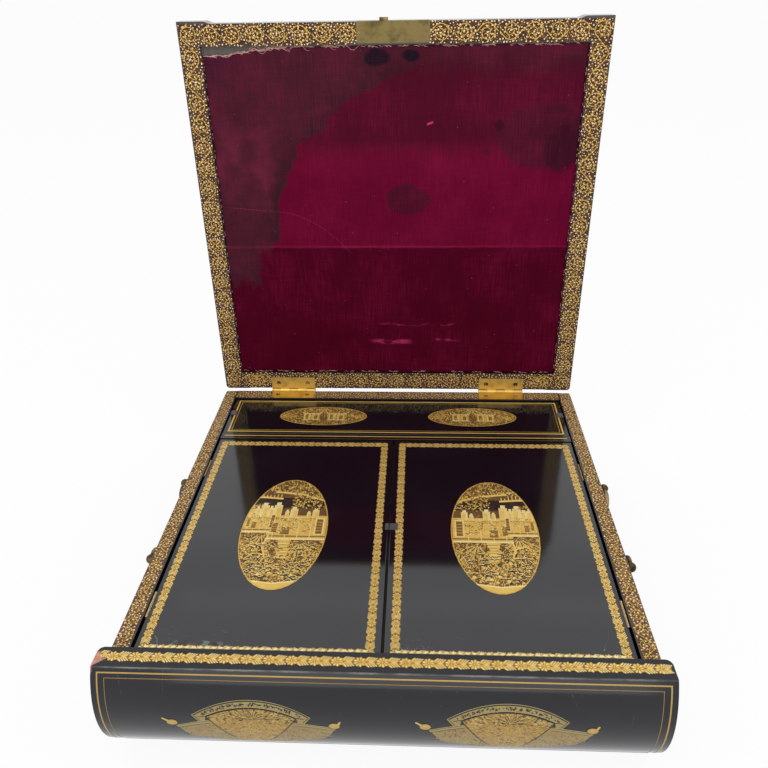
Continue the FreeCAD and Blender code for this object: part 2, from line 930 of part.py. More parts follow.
def tray_cover():
    """The lift-off cover of the pen tray, with its upper edges rounded."""
    board = box(-cover_edge_x, cover_edge_x, cover_front_y, cover_back_y, cover_under_z, cover_top_z)
    upper = [edge for edge in board.Edges if edge.CenterOfMass.z > cover_top_z - 0.1]
    return board.makeFillet(cover_edge_radius, upper)


def tray_tab(side):
    """A silk tab that lies on an end of the tray's cover."""
    y = cover_back_y - cover_tab_from_back
    half = cover_tab_width / 2
    x0, x1 = sorted((side * (cover_edge_x - cover_tab_length), side * cover_edge_x))
    return box(x0, x1, y - half, y + half, cover_top_z, cover_top_z + silk_thickness)


# Handles


def handle_places():
    """Middles of the two posts of a handle."""
    return [handle_y + s * handle_spacing / 2 for s in (-1, 1)]


def handle_post(side, y):
    """A turned post: tang, collar, neck and a ball that is drilled for the bail."""
    centre = Vector(side * bail_x, y, handle_height)
    wall = Vector(side * half_width, y, handle_height)
    out = Vector(side, 0, 0)
    parts = [
        rod(post_tang_radius, wall - out * post_tang_length, wall + out * post_collar_thickness),
        rod(post_collar_radius, wall, wall + out * post_collar_thickness),
        rod(post_neck_radius, wall, centre),
        Part.makeSphere(post_ball_radius, centre),
    ]
    post = fuse(parts)
    inward = Vector(0, math.copysign(1, handle_y - y), 0)
    hole_end = centre + inward * (post_ball_radius + overcut)
    hole_start = centre + inward * (post_ball_radius - bail_pivot_depth - bail_pivot_end_gap)
    return post.cut(rod(bail_pivot_radius + bail_pivot_clearance, hole_start, hole_end))


def bail_path(x):
    """The line through the middle of a hanging bail, from post to post."""
    start = bail_end()
    turn = bail_bend_radius
    bow = turn * math.sqrt(0.5)
    neck = start - bail_neck_run - turn
    grip_end = neck - turn
    top = handle_height
    low = bail_grip_height()

    def at(y, z):
        return Vector(x, handle_y + y, z)

    half = [
        Part.LineSegment(at(start, top), at(neck + turn, top)),
        Part.Arc(at(neck + turn, top), at(neck + turn - bow, top - turn + bow), at(neck, top - turn)),
        Part.LineSegment(at(neck, top - turn), at(neck, low + turn)),
        Part.Arc(at(neck, low + turn), at(neck - turn + bow, low + turn - bow), at(grip_end, low)),
        Part.LineSegment(at(grip_end, low), at(0, low)),
    ]
    edges = [piece.toShape() for piece in half]
    mirrored = [edge.mirror(at(0, low), Vector(0, 1, 0)) for edge in edges]
    return Part.Wire(Part.__sortEdges__(edges + mirrored))


def bail_end():
    """Distance from the handle's middle to the end of the bail's wire, beside the ball."""
    return handle_spacing / 2 - post_ball_radius - bail_ball_gap


def bail_grip_height():
    """Height of the hanging bail's grip."""
    return handle_height - 2 * bail_bend_radius - bail_drop


def swelling(x, y, half_length, radius):
    """A round swelling on the bail's grip, which runs out inside the wire at both ends."""
    z = bail_grip_height()
    root = bail_radius * swelling_root
    ends = [Vector(x, y + s * half_length, z) for s in (-1, 1)]
    roots = [end + Vector(0, 0, root) for end in ends]
    arc = Part.Arc(roots[0], Vector(x, y, z + radius), roots[1]).toShape()
    edges = [
        Part.LineSegment(ends[0], roots[0]).toShape(),
        arc,
        Part.LineSegment(roots[1], ends[1]).toShape(),
        Part.LineSegment(ends[1], ends[0]).toShape(),
    ]
    return Part.Face(Part.Wire(edges)).revolve(Vector(x, y, z), Vector(0, 1, 0), 360)


def bail(side):
    """The swan-neck bail, hanging: two shoulders that step down to a grip with two beads."""
    x = side * bail_x
    path = bail_path(x)
    start = path.Vertexes[0].Point
    section = Part.Wire(Part.makeCircle(bail_radius, start, Vector(0, 1, 0)))
    whole = path.makePipeShell([section], True, False)
    pivot_end = handle_spacing / 2 - post_ball_radius + bail_pivot_depth
    for s in (-1, 1):
        inner = Vector(x, handle_y + s * (bail_end() - bail_neck_run / 2), handle_height)
        outer = Vector(x, handle_y + s * pivot_end, handle_height)
        whole = whole.fuse(rod(bail_pivot_radius, inner, outer))
        bead_y = handle_y + s * (bail_grip_half() + bail_bead_gap)
        whole = whole.fuse(swelling(x, bead_y, bail_bead_length / 2, bail_bead_radius))
    return whole.fuse(swelling(x, handle_y, bail_grip_half(), bail_grip_radius))


def bail_grip_half():
    """Half the length of the grip's long swelling, which leaves room for a bead at each end."""
    grip_end = bail_end() - bail_neck_run - 2 * bail_bend_radius
    return grip_end - bail_bead_length / 2 - bail_bead_gap


def build():
    """Make every piece and write it to its file."""
    save("bottom_board", bottom_board())
    save("back_board", back_board())
    save("front_spine", front_spine())
    save("divider_wall", divider_wall())
    save("centre_partition", centre_partition())
    save("front_flap_ledge", front_flap_ledge())
    save("back_flap_ledge", back_flap_ledge())
    save("lid_board", open_lid(lid_board()))
    save("velvet_lining", open_lid(velvet_lining()))
    save("lock_plate", open_lid(lock_plate()))
    save("lock_case", open_lid(lock_case()))
    save("lock_bolt", open_lid(lock_bolt()))
    save("lock_spring", open_lid(lock_spring()))
    save("lock_pins", open_lid(lock_pins()))
    save("key_post", open_lid(key_post()))
    save("hinge_screws_base", hinge_screws(False))
    save("hinge_screws_lid", open_lid(hinge_screws(True)))
    save("left_flap_tab", flap_tab(-1, left_tab_length))
    save("right_flap_tab", flap_tab(1, right_tab_length))
    save("tray_cover", tray_cover())
    for side, name in ((-1, "left"), (1, "right")):
        save(name + "_side_board", side_board(side))
        save(name + "_well_partition", well_partition(side))
        save(name + "_tray_end_ledge", tray_end_ledge(side))
        save(name + "_hinge_base_leaf", hinge_leaf(side * hinge_x, False))
        save(name + "_hinge_lid_leaf", open_lid(hinge_leaf(side * hinge_x, True)))
        save(name + "_hinge_pin", hinge_pin(side * hinge_x))
        save(name + "_flap", flap(side))
        save(name + "_tray_tab", tray_tab(side))
        save(name + "_bail", bail(side))
        for y, place in zip(flap_hinge_places(), ("front", "rear")):
            stem = name + "_" + place + "_flap_hinge_"
            save(stem + "fixed_leaf", flap_hinge_leaf(side, y, False))
            save(stem + "moving_leaf", flap_hinge_leaf(side, y, True))
            save(stem + "pin", flap_hinge_pin(side, y))
        for y, place in zip(handle_places(), ("front", "rear")):
            save(name + "_" + place + "_handle_post", handle_post(side, y))


build()
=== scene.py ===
"""Looks of the lacquer writing box: black lacquer with gold painting, velvet, silk and brass.

All pieces are drawn in millimetres and placed in metres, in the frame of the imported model. The
gold painting is flat polygons that lie less than a quarter of a millimetre above the lacquer.
"""
import sys
import json
import logging
import math
import random
from dataclasses import dataclass
from enum import Enum
from typing import Callable, Iterable, Optional, Sequence

import bpy
from mathutils import Matrix, Vector

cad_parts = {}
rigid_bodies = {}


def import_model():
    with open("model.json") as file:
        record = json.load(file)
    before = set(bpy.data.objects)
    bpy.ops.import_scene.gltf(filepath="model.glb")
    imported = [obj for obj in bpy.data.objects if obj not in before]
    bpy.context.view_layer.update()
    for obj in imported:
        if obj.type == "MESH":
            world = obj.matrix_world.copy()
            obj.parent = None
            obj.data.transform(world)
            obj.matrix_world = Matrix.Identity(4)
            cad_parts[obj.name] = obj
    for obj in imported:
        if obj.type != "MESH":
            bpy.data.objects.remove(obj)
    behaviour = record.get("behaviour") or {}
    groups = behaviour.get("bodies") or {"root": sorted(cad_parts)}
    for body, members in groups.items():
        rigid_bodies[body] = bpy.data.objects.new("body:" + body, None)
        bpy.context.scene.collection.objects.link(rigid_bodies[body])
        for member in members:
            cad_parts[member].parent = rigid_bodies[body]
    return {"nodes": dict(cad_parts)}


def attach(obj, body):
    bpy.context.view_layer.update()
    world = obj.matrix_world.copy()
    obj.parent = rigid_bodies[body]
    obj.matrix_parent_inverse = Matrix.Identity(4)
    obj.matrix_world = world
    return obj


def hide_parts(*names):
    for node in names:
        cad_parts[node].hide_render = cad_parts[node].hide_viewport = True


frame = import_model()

LOG = logging.getLogger("writing_box")
MM = 0.001
Point = tuple[float, float]
Colour = tuple[float, float, float]
Box = tuple[float, float, float, float]
Names = tuple[str, str]
Corner = tuple[float, float, float]
Place = Callable[[float, float, float], Vector]
Socket = bpy.types.NodeSocket
Shade = tuple[Socket, "Signal", "Signal"]
Material = bpy.types.Material
Mesh = bpy.types.Mesh
Piece = bpy.types.Object
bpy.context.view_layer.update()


def linear(red: int, green: int, blue: int) -> Colour:
    """Turn a screen colour of 0 to 255 into the linear one that shaders take.

    Args:
        red: Red on the screen.
        green: Green on the screen.
        blue: Blue on the screen.

    Returns:
        The three linear values.
    """
    def one(value: int) -> float:
        """Turn one value."""
        share = value / 255
        return share / 12.92 if share <= 0.04045 else ((share + 0.055) / 1.055) ** 2.4

    return one(red), one(green), one(blue)


# Shader expressions


def operator(operation: str, turned: bool = False) -> Callable[["Signal", object], "Signal"]:
    """Make a method of Signal that adds one Math node.

    Args:
        operation: The node's operation.
        turned: Whether the other value comes first.

    Returns:
        The method.
    """
    def act(self: "Signal", other: object) -> "Signal":
        """Add the node and keep its result."""
        first, second = (other, self) if turned else (self, other)
        made = self.bench.node("ShaderNodeMath", {"operation": operation}, {0: first, 1: second})
        return Signal(self.bench, made.outputs[0])

    return act


class Signal:
    """A shader socket that takes part in Python expressions."""

    __add__ = __radd__ = operator("ADD")
    __sub__, __rsub__ = operator("SUBTRACT"), operator("SUBTRACT", True)
    __mul__ = __rmul__ = operator("MULTIPLY")
    __truediv__, __pow__ = operator("DIVIDE"), operator("POWER")
    least, most = operator("MINIMUM"), operator("MAXIMUM")

    def __init__(self, bench: "Bench", socket: Socket) -> None:
        """Keep the socket and the bench that makes its nodes."""
        self.bench, self.socket = bench, socket

    def sine(self) -> "Signal":
        """The sine of the value."""
        made = self.bench.node("ShaderNodeMath", {"operation": "SINE"}, {0: self})
        return Signal(self.bench, made.outputs[0])

    def ramp(self, low: float, high: float) -> "Signal":
        """Rise smoothly from 0 at one value to 1 at another.

        Args:
            low: Where the result is 0.
            high: Where the result is 1. It may be the lower of the two.

        Returns:
            A value from 0 to 1.
        """
        values = {0: self, 1: low, 2: high, 3: 0.0, 4: 1.0}
        made = self.bench.node("ShaderNodeMapRange", {"interpolation_type": "SMOOTHSTEP"}, values)
        return Signal(self.bench, made.outputs[0])

    def band(self, low: float, high: float, soft: float) -> "Signal":
        """1 from a low to a high value, with ends that are soft over a width on both sides."""
        return self.ramp(low - soft, low + soft) * self.ramp(high + soft, high - soft)


class Graph:
    """A node tree, and the one way in which its nodes are made."""

    def __init__(self, tree: bpy.types.NodeTree) -> None:
        """Keep the tree and empty it."""
        self.tree = tree
        tree.nodes.clear()

    def node(
        self, kind: str, settings: Optional[dict] = None, values: Optional[dict] = None
    ) -> bpy.types.Node:
        """Make a node: its settings first, then the values or links of its sockets.

        Args:
            kind: The node's type.
            settings: Its properties. "stops" are a ramp's (place, colour) pairs.
            values: Numbers, colours, signals or sockets by input name or index.

        Returns:
            The node.
        """
        made = self.tree.nodes.new(kind)
        for key, value in (settings or {}).items():
            if key == "stops":
                self._stops(made.color_ramp, value)
            else:
                setattr(made, key, value)
        for key, value in (values or {}).items():
            socket = made.inputs[key]
            value = value.socket if isinstance(value, Signal) else value
            if isinstance(value, Socket):
                self.tree.links.new(value, socket)
            elif isinstance(value, tuple) and len(value) == 3 and len(socket.default_value) == 4:
                socket.default_value = (*value, 1.0)
            else:
                socket.default_value = value
        return made

    @staticmethod
    def _stops(ramp: bpy.types.ColorRamp, stops: Sequence[tuple[float, Colour]]) -> None:
        """Set a ramp's stops.

        Args:
            ramp: The ramp.
            stops: The place and colour of each stop.
        """
        while len(ramp.elements) < len(stops):
            ramp.elements.new(1.0)
        for element, (place, colour) in zip(ramp.elements, stops):
            element.position = place
            element.color = (*colour, 1.0)


class Bench(Graph):
    """Where the nodes of a material or of the world are made."""

    def __init__(self, name: str, owner: Optional[bpy.types.World] = None) -> None:
        """Start an empty material of this name, or empty the tree of the world that is given.

        Args:
            name: The material's name.
            owner: The world, where its light is made.
        """
        self.material = owner or bpy.data.materials.new(name)
        self.material.use_nodes = True
        super().__init__(self.material.node_tree)

    def object_mm(self) -> Socket:
        """The point on the piece in millimetres, as a vector."""
        values = {0: self.node("ShaderNodeTexCoord").outputs["Object"], "Scale": 1 / MM}
        return self.node("ShaderNodeVectorMath", {"operation": "SCALE"}, values).outputs[0]

    def axes(self, vector: Socket) -> tuple[Signal, Signal, Signal]:
        """The three parts of a vector."""
        made = self.node("ShaderNodeSeparateXYZ", None, {0: vector})
        return tuple(Signal(self, out) for out in made.outputs)

    def stretched(self, vector: Socket, scale: Corner, turn: float = 0.0) -> Socket:
        """A vector scaled along its axes and turned about Z.

        Args:
            vector: What is scaled.
            scale: One factor for each axis.
            turn: Angle in degrees.

        Returns:
            The new vector.
        """
        values = {"Vector": vector, "Rotation": (0.0, 0.0, math.radians(turn)), "Scale": scale}
        return self.node("ShaderNodeMapping", None, values).outputs[0]

    def noise(self, vector: Socket, size: float, detail: float = 3.0, rough: float = 0.5) -> Signal:
        """Soft noise, about 0 to 1.

        Args:
            vector: Where it is read, in millimetres.
            size: Size of its blots in millimetres.
            detail: Number of finer layers.
            rough: Strength of the finer layers.

        Returns:
            The noise.
        """
        values = {"Vector": vector, "Scale": 1 / size, "Detail": detail, "Roughness": rough}
        return Signal(self, self.node("ShaderNodeTexNoise", None, values).outputs[0])

    def cells(self, vector: Socket, size: float) -> Signal:
        """Distance to the nearest of scattered points, in cells of one size."""
        values = {"Vector": vector, "Scale": 1 / size}
        return Signal(self, self.node("ShaderNodeTexVoronoi", {"feature": "F1"}, values).outputs["Distance"])

    def attribute(self, name: str) -> Signal:
        """A number that the mesh carries."""
        return Signal(self, self.node("ShaderNodeAttribute", {"attribute_name": name}).outputs["Fac"])

    def blend(self, factor: object, first: object, second: object) -> Socket:
        """Mix two colours.

        Args:
            factor: 0 for the first, 1 for the second.
            first: A colour or a socket.
            second: A colour or a socket.

        Returns:
            The mixed colour.
        """
        values = {0: factor, 6: first, 7: second}
        return self.node("ShaderNodeMix", {"data_type": "RGBA"}, values).outputs[2]

    def bump(self, height: Signal, distance: float, strength: float = 1.0) -> Socket:
        """A bumped normal from a height.

        Args:
            height: The height, 0 to 1.
            distance: What a height of 1 stands for, in millimetres.
            strength: Strength of the bump.

        Returns:
            The normal.
        """
        values = {"Strength": strength, "Distance": distance * MM, "Height": height}
        return self.node("ShaderNodeBump", None, values).outputs[0]

    def finish(self, **values: object) -> Material:
        """Close the material with one Principled shader.

        Args:
            **values: The shader's sockets, with _ for each space.

        Returns:
            The material.
        """
        named = {key.replace("_", " "): value for key, value in values.items()}
        shader = self.node("ShaderNodeBsdfPrincipled", None, named)
        self.node("ShaderNodeOutputMaterial", None, {"Surface": shader.outputs[0]})
        return self.material


# Finishes


class Ground(Enum):
    """What lies under the gold painting on a lacquered piece."""

    PLAIN = "plain"
    CASE_RIM = "case rim"
    LID_RIM = "lid rim"
    SPINE = "spine"
    LEFT_FLAP = "left flap"
    RIGHT_FLAP = "right flap"


@dataclass(frozen=True)
class Lacquer:
    """Black lacquer with a soft old gloss."""

    ground: Ground = Ground.PLAIN
    black: Colour = linear(14, 15, 21)
    rim_brown: Colour = linear(58, 40, 30)
    red_under: Colour = linear(214, 156, 126)
    # Pale colour of scratches, cracks and specks, and of the painted highlight along the spine's arris.
    pale_wear_and_highlight: Colour = linear(150, 148, 144)
    gloss: float = 0.08
    ior: float = 1.59
    bow: float = 8.0

    def make(self, name: str) -> Material:
        """Build the material.

        Args:
            name: The material's name.

        Returns:
            The material.
        """
        bench = Bench(name)
        point = bench.object_mm()
        x, y, z = bench.axes(point)
        cloud = bench.noise(point, 60.0, 3.0)
        grain = bench.noise(point, 1.6, 4.0, 0.6)
        colour = bench.blend(cloud.ramp(0.35, 0.7), self.black, linear(19, 20, 26))
        rough = self.gloss + cloud * 0.03 + grain.ramp(0.5, 0.9) * 0.03
        height = cloud * 0.5 + grain * 0.02
        if self.ground is Ground.CASE_RIM:
            mask = z.ramp(69.35, 69.5)
            colour = bench.blend(mask, colour, self._brown(bench, point))
            rough = rough + mask * 0.12
        elif self.ground is Ground.LID_RIM:
            mask = y.ramp(162.4, 162.2)
            colour = bench.blend(mask, colour, self._brown(bench, point))
            rough = rough + mask * 0.12
            floor = y.band(164.0, 164.4, 0.1) * z.band(89.0, 376.0, 0.5) * x.band(-149.2, 149.2, 0.2)
            paper = bench.blend(bench.noise(point, 3.0), linear(62, 54, 50), linear(98, 88, 82))
            colour = bench.blend(floor, colour, paper)
            rough = rough + floor * 0.5
        elif self.ground is Ground.SPINE:
            colour, rough, height = self._spine(bench, point, (colour, rough, height))
        elif self.ground in (Ground.LEFT_FLAP, Ground.RIGHT_FLAP):
            colour, rough, height = self._flap(bench, point, (colour, rough, height))
        return bench.finish(
            Base_Color=colour, Roughness=rough, Coat_Weight=0.0, IOR=self.ior,
            Normal=bench.bump(height, 0.05),
        )

    def _brown(self, bench: Bench, point: Socket) -> Socket:
        """The brown ground of the scroll bands, a little uneven."""
        tone = bench.noise(point, 9.0, 4.0, 0.6)
        return bench.blend(tone.ramp(0.35, 0.7), linear(46, 32, 28), self.rim_brown)

    def _spine(self, bench: Bench, point: Socket, shade: Shade) -> Shade:
        """The round front's wear and cracks, a corner worn to the red and a painted highlight on the arris.

        Args:
            bench: Where the nodes are made.
            point: The point in millimetres.
            shade: Colour, roughness and height without the wear.

        Returns:
            The same three with the wear.
        """
        colour, rough, height = shade
        x, y, z = bench.axes(point)
        wander = bench.noise(point, 14.0, 4.0, 0.6)
        fine = bench.noise(point, 2.2, 4.0, 0.65)
        # Painted highlight: a pale line along the arris, in patches, for the light on the rounded edge.
        arris = (y + (fine - 0.5) * 0.5).band(-176.95, -176.35, 0.2) * z.ramp(80.0, 82.0)
        patch = bench.noise(point, 22.0).ramp(0.4, 0.62)
        colour = bench.blend(arris * (0.1 + patch * 0.45), colour, self.pale_wear_and_highlight)
        corner = x + (wander - 0.5) * 16.0 + (fine - 0.5) * 5.0
        lost = corner.ramp(-156.6, -158.6) * (y + (wander - 0.5) * 9.0).ramp(-165.0, -167.0)
        lost = lost * (y - (x + 165.0) * 0.8 + (fine - 0.5) * 2.0).ramp(-176.8, -176.0)
        lost = lost * (z + (fine - 0.5) * 2.0).ramp(82.4, 83.4)
        edge = (x + (fine - 0.5) * 3.0).ramp(-163.8, -164.8) * z.ramp(79.0, 82.0) * fine.ramp(0.35, 0.55)
        red = bench.blend(fine.ramp(0.3, 0.75), self.red_under, linear(168, 106, 82))
        colour = bench.blend(lost.most(edge), colour, red)
        rough = rough + lost.most(edge) * 0.35
        cracks = bench.node(
            "ShaderNodeTexVoronoi", {"feature": "DISTANCE_TO_EDGE"},
            {"Vector": bench.stretched(point, (0.028, 0.012, 0.004)), "Scale": 1.0},
        )
        line = Signal(bench, cracks.outputs["Distance"]).ramp(0.006, 0.0) * y.ramp(-170.0, -176.0)
        line = line * fine.ramp(0.46, 0.58) * wander.ramp(0.5, 0.62)
        colour = bench.blend(line * 0.16, colour, self.pale_wear_and_highlight)
        specks = bench.noise(bench.stretched(point, (0.6, 1.0, 1.0)), 1.1, 2.0, 0.6).ramp(0.74, 0.8)
        specks = specks * bench.noise(point, 34.0).ramp(0.5, 0.64)
        colour = bench.blend(specks * 0.45, colour, self.pale_wear_and_highlight)
        return colour, rough + specks * 0.15, height - line * 0.6 - lost * 1.5

    def _flap(self, bench: Bench, point: Socket, shade: Shade) -> Shade:
        """The scratches and chips along a flap's front edge, and the faint bow of its front half.

        Args:
            bench: Where the nodes are made.
            point: The point in millimetres.
            shade: Colour, roughness and height without the wear.

        Returns:
            The same three with the wear.
        """
        colour, rough, height = shade
        x, y, _ = bench.axes(point)
        fine = bench.noise(point, 1.8, 4.0, 0.7)
        bow = y.ramp(-150.0, -45.0) * self.bow / 0.05
        near_front = y.ramp(-128.0, -150.0)
        place, turn = x.band(-138.0, -72.0, 10.0), 24.0
        if self.ground is Ground.RIGHT_FLAP:
            place, turn = x.band(8.0, 60.0, 12.0), -14.0
        long_marks = bench.noise(bench.stretched(point, (0.35, 3.0, 1.0), turn), 3.4, 3.0, 0.6)
        marks = long_marks.ramp(0.62, 0.68) * bench.noise(point, 12.0).ramp(0.5, 0.6) * near_front * place
        colour = bench.blend(marks * 0.5, colour, self.pale_wear_and_highlight)
        chip = fine.ramp(0.66, 0.7) * bench.noise(point, 9.0).ramp(0.55, 0.62) * near_front * place
        colour = bench.blend(chip * 0.6, colour, linear(96, 52, 40))
        return colour, rough + marks * 0.25 + chip * 0.3, height + bow - marks * 0.8 - chip * 1.2


@dataclass(frozen=True)
class ChippedLacquer:
    """Small scars of the lacquer: tone 0 shows the red-brown ground, tone 1 is a pale scratch."""

    ground: Colour = linear(78, 60, 57)
    scratch: Colour = linear(124, 132, 136)

    def make(self, name: str) -> Material:
        """Build the material.

        Args:
            name: The material's name.

        Returns:
            The material.
        """
        bench = Bench(name)
        grain = bench.noise(bench.object_mm(), 0.9, 3.0, 0.6)
        tone = bench.attribute("tone") + (grain - 0.5) * 0.3
        return bench.finish(
            Base_Color=bench.blend(tone.ramp(0.0, 1.0), self.ground, self.scratch),
            Roughness=0.6 + grain * 0.1, Specular_IOR_Level=0.2,
        )


@dataclass(frozen=True)
class GoldPainting:
    """Painted gold, whose tone the mesh carries: 0 dark line, 0.5 old gold, 1 pale gold."""

    wear: float = 0.35
    cast: Colour = linear(200, 160, 90)
    share: float = 0.0
    specular: float = 0.5

    def make(self, name: str) -> Material:
        """Build the material.

        Args:
            name: The material's name.

        Returns:
            The material.
        """
        bench = Bench(name)
        point = bench.object_mm()
        tone = bench.attribute("tone") + (bench.noise(point, 7.0, 4.0, 0.6) - 0.5) * 0.22
        ramp = bench.node(
            "ShaderNodeValToRGB",
            {
                "stops": (
                    (0.0, linear(34, 22, 16)), (0.25, linear(98, 70, 40)), (0.45, linear(164, 124, 56)),
                    (0.65, linear(220, 176, 80)), (0.82, linear(244, 206, 106)), (1.0, linear(252, 238, 180)),
                )
            },
            {0: tone},
        )
        rub = bench.noise(point, 1.3, 3.0, 0.6).ramp(0.66, 0.74) * bench.noise(point, 18.0).ramp(0.4, 0.62)
        toned = bench.blend(tone.ramp(0.25, 0.6) * self.share, ramp.outputs[0], self.cast)
        colour = bench.blend(rub * self.wear, toned, linear(70, 46, 34))
        shine = tone.ramp(0.2, 0.5) * (0.3 - rub * 0.2)
        return bench.finish(
            Base_Color=colour, Metallic=shine, Specular_IOR_Level=self.specular,
            Roughness=0.36 + rub * 0.25 + bench.noise(point, 0.8) * 0.1,
        )


@dataclass(frozen=True)
class Brass:
    """Old brass, from bright to brown."""

    bright: Colour = linear(214, 164, 72)
    dull: Colour = linear(150, 122, 62)
    age: float = 0.4
    rough: float = 0.3

    def make(self, name: str) -> Material:
        """Build the material.

        Args:
            name: The material's name.

        Returns:
            The material.
        """
        bench = Bench(name)
        point = bench.object_mm()
        cloud = bench.noise(point, 11.0, 4.0, 0.6)
        fine = bench.noise(point, 1.2, 4.0, 0.65)
        rubbed = bench.noise(bench.stretched(point, (0.12, 2.2, 2.2)), 1.0, 2.0, 0.5)
        aged = (
            cloud.ramp(0.6 - self.age * 0.4, 0.85 - self.age * 0.3) + fine.ramp(0.6, 0.8) * 0.3
        ).least(1.0)
        colour = bench.blend(aged, self.bright, self.dull)
        return bench.finish(
            Base_Color=colour, Metallic=1.0, Roughness=self.rough + aged * 0.14 + rubbed * 0.08,
            Normal=bench.bump(rubbed * 0.4 + fine * 0.6, 0.02),
        )


@dataclass(frozen=True)
class Velvet:
    """Worn crimson velvet on the inside of the lid, with stains and a crease."""

    wine: Colour = linear(102, 6, 43)
    middle: Colour = linear(82, 13, 37)
    deep: Colour = linear(76, 2, 28)
    stain: Colour = linear(74, 28, 42)
    tide: Colour = linear(54, 26, 36)
    blush: Colour = linear(112, 38, 62)
    pile: Colour = linear(160, 32, 76)
    centre: Point = (44.0, 229.0)
    reach: Point = (143.0, 127.5)

    def make(self, name: str) -> Material:
        """Build the material.

        Args:
            name: The material's name.

        Returns:
            The material.
        """
        bench = Bench(name)
        point = bench.object_mm()
        x, _, z = bench.axes(point)
        streak = bench.noise(bench.stretched(point, (1.0, 1.0, 0.03)), 0.7, 2.0, 0.6)
        thread = bench.noise(bench.stretched(point, (0.06, 1.0, 1.0)), 0.9, 2.0, 0.6)
        cloud = bench.noise(point, 38.0, 5.0, 0.6)
        ragged = (bench.noise(point, 12.0, 4.0, 0.6) - 0.5)
        above = (z + ragged * 0.8).ramp(213.2, 214.6)
        colour = bench.blend(above, self.deep, self.wine)
        colour = bench.blend((z + ragged * 22.0).ramp(284.0, 306.0), colour, self.middle)
        colour = self._stained(bench, colour, x, z, ragged, cloud)
        colour = self._blots(bench, colour, x, z, ragged)
        glow = z.ramp(262.0, 290.0) * (z + ragged * 9.0).ramp(306.0, 294.0) * x.band(-80.0, 78.0, 30.0)
        colour = bench.blend(glow * 0.12, colour, self.pile)
        crease = (z + (thread - 0.5) * 2.0).band(213.5, 215.0, 1.1) * (
            0.1 + thread * 0.3 + x.band(-80.0, 60.0, 50.0) * 0.3
        )
        colour = bench.blend(crease, colour, self.pile)
        nap = (streak.ramp(0.3, 0.7) - 0.5) * 0.24 + (thread.ramp(0.32, 0.68) - 0.5) * 0.08
        nap = nap + (cloud.ramp(0.3, 0.7) - 0.5) * 0.26
        colour = bench.blend((nap * -1.0).most(0.0), colour, linear(28, 2, 14))
        colour = bench.blend(nap.most(0.0) * 0.7, colour, self.pile)
        colour = bench.blend(self._worn(bench, point, x, z, streak), colour, linear(216, 62, 122))
        flecks = bench.cells(bench.stretched(point, (1.0, 1.0, 0.4)), 3.2).ramp(0.12, 0.03)
        flecks = flecks * bench.noise(point, 6.0).ramp(0.54, 0.66)
        colour = bench.blend(flecks * 0.35, colour, linear(200, 120, 132))
        return bench.finish(
            Base_Color=colour, Roughness=0.85, Specular_IOR_Level=0.04, Sheen_Weight=0.05,
            Sheen_Roughness=0.35, Sheen_Tint=(*linear(240, 70, 140), 1.0),
            Normal=bench.bump(streak * 0.6 + thread * 0.3 + cloud, 0.3, 0.7),
        )

    def _stained(
        self, bench: Bench, colour: Socket, x: Signal, z: Signal, ragged: Signal, cloud: Signal
    ) -> Socket:
        """The great stain over the head and the left side, dark along its tide line.

        Args:
            bench: Where the nodes are made.
            colour: The velvet's colour.
            x: Across, in millimetres.
            z: Up, in millimetres.
            ragged: Noise for ragged edges, round 0.
            cloud: Coarse noise.

        Returns:
            The stained colour.
        """
        across = ((x - self.centre[0]) / self.reach[0]).least(0.0)
        rise = ((z - self.centre[1]) / self.reach[1]).most(0.0)
        outside = across ** 2.0 + rise ** 2.0 - 1.0 + ragged * 0.3 + (cloud - 0.5) * 0.3
        right = x.ramp(-30.0, 34.0)
        head = outside.ramp(-0.02, 0.03) * (1.0 - right) + outside.ramp(-0.16, 0.3) * right * 0.8
        head = head * (z - x * 0.5 - 50.0 + ragged * 30.0).ramp(213.0, 222.0)
        foot = (
            x + ragged * 20.0 + (cloud - 0.5) * 20.0
        ).ramp(-117.0, -125.0) * (z + ragged * 40.0).band(178.0, 218.0, 8.0)
        wet = head.most(foot)
        colour = bench.blend(wet, colour, self.stain)
        blush = z.band(246.0, 316.0, 18.0) * x.ramp(-84.0, -112.0) * cloud.ramp(0.3, 0.7)
        colour = bench.blend(wet * blush * 0.7, colour, self.blush)
        line = outside.ramp(0.2, 0.03) * head + foot * (x + ragged * 14.0).ramp(-130.0, -123.0)
        colour = bench.blend((line * 0.75).least(1.0), colour, self.tide)
        corner = ((z - 330.0) * 0.7 - x * 0.6).ramp(86.0, 122.0)
        return bench.blend(corner * 0.55, colour, linear(44, 18, 46))

    def _blots(self, bench: Bench, colour: Socket, x: Signal, z: Signal, ragged: Signal) -> Socket:
        """The brown patch at the right, the round blot below the middle and two dark holes at the head.

        Args:
            bench: Where the nodes are made.
            colour: The velvet's colour.
            x: Across, in millimetres.
            z: Up, in millimetres.
            ragged: Noise for ragged edges, round 0.

        Returns:
            The blotted colour.
        """
        for centre_x, centre_z, half_x, half_z, soft, depth, shade in (
            (122.0, 306.0, 38.0, 27.0, 0.15, 0.75, linear(70, 20, 37)),
            (136.0, 296.0, 14.0, 20.0, 0.3, 0.5, linear(44, 14, 31)),
            (84.0, 315.0, 3.5, 5.0, 0.15, 0.6, linear(44, 14, 29)),
            (11.6, 255.4, 19.5, 13.0, 0.15, 0.75, linear(68, 17, 36)),
            (76.0, 294.0, 4.0, 3.0, 0.15, 0.5, linear(62, 14, 32)),
            (-13.0, 366.0, 9.5, 6.6, 0.4, 0.95, linear(30, 20, 33)),
            (13.2, 367.2, 6.4, 4.4, 0.4, 0.95, linear(28, 20, 32)),
        ):
            away = ((x - centre_x) / half_x) ** 2.0 + ((z - centre_z) / half_z) ** 2.0
            spot = (away + ragged * 1.4).ramp(0.93 + soft, 0.93 - soft) * depth
            colour = bench.blend(spot, colour, shade)
        return colour

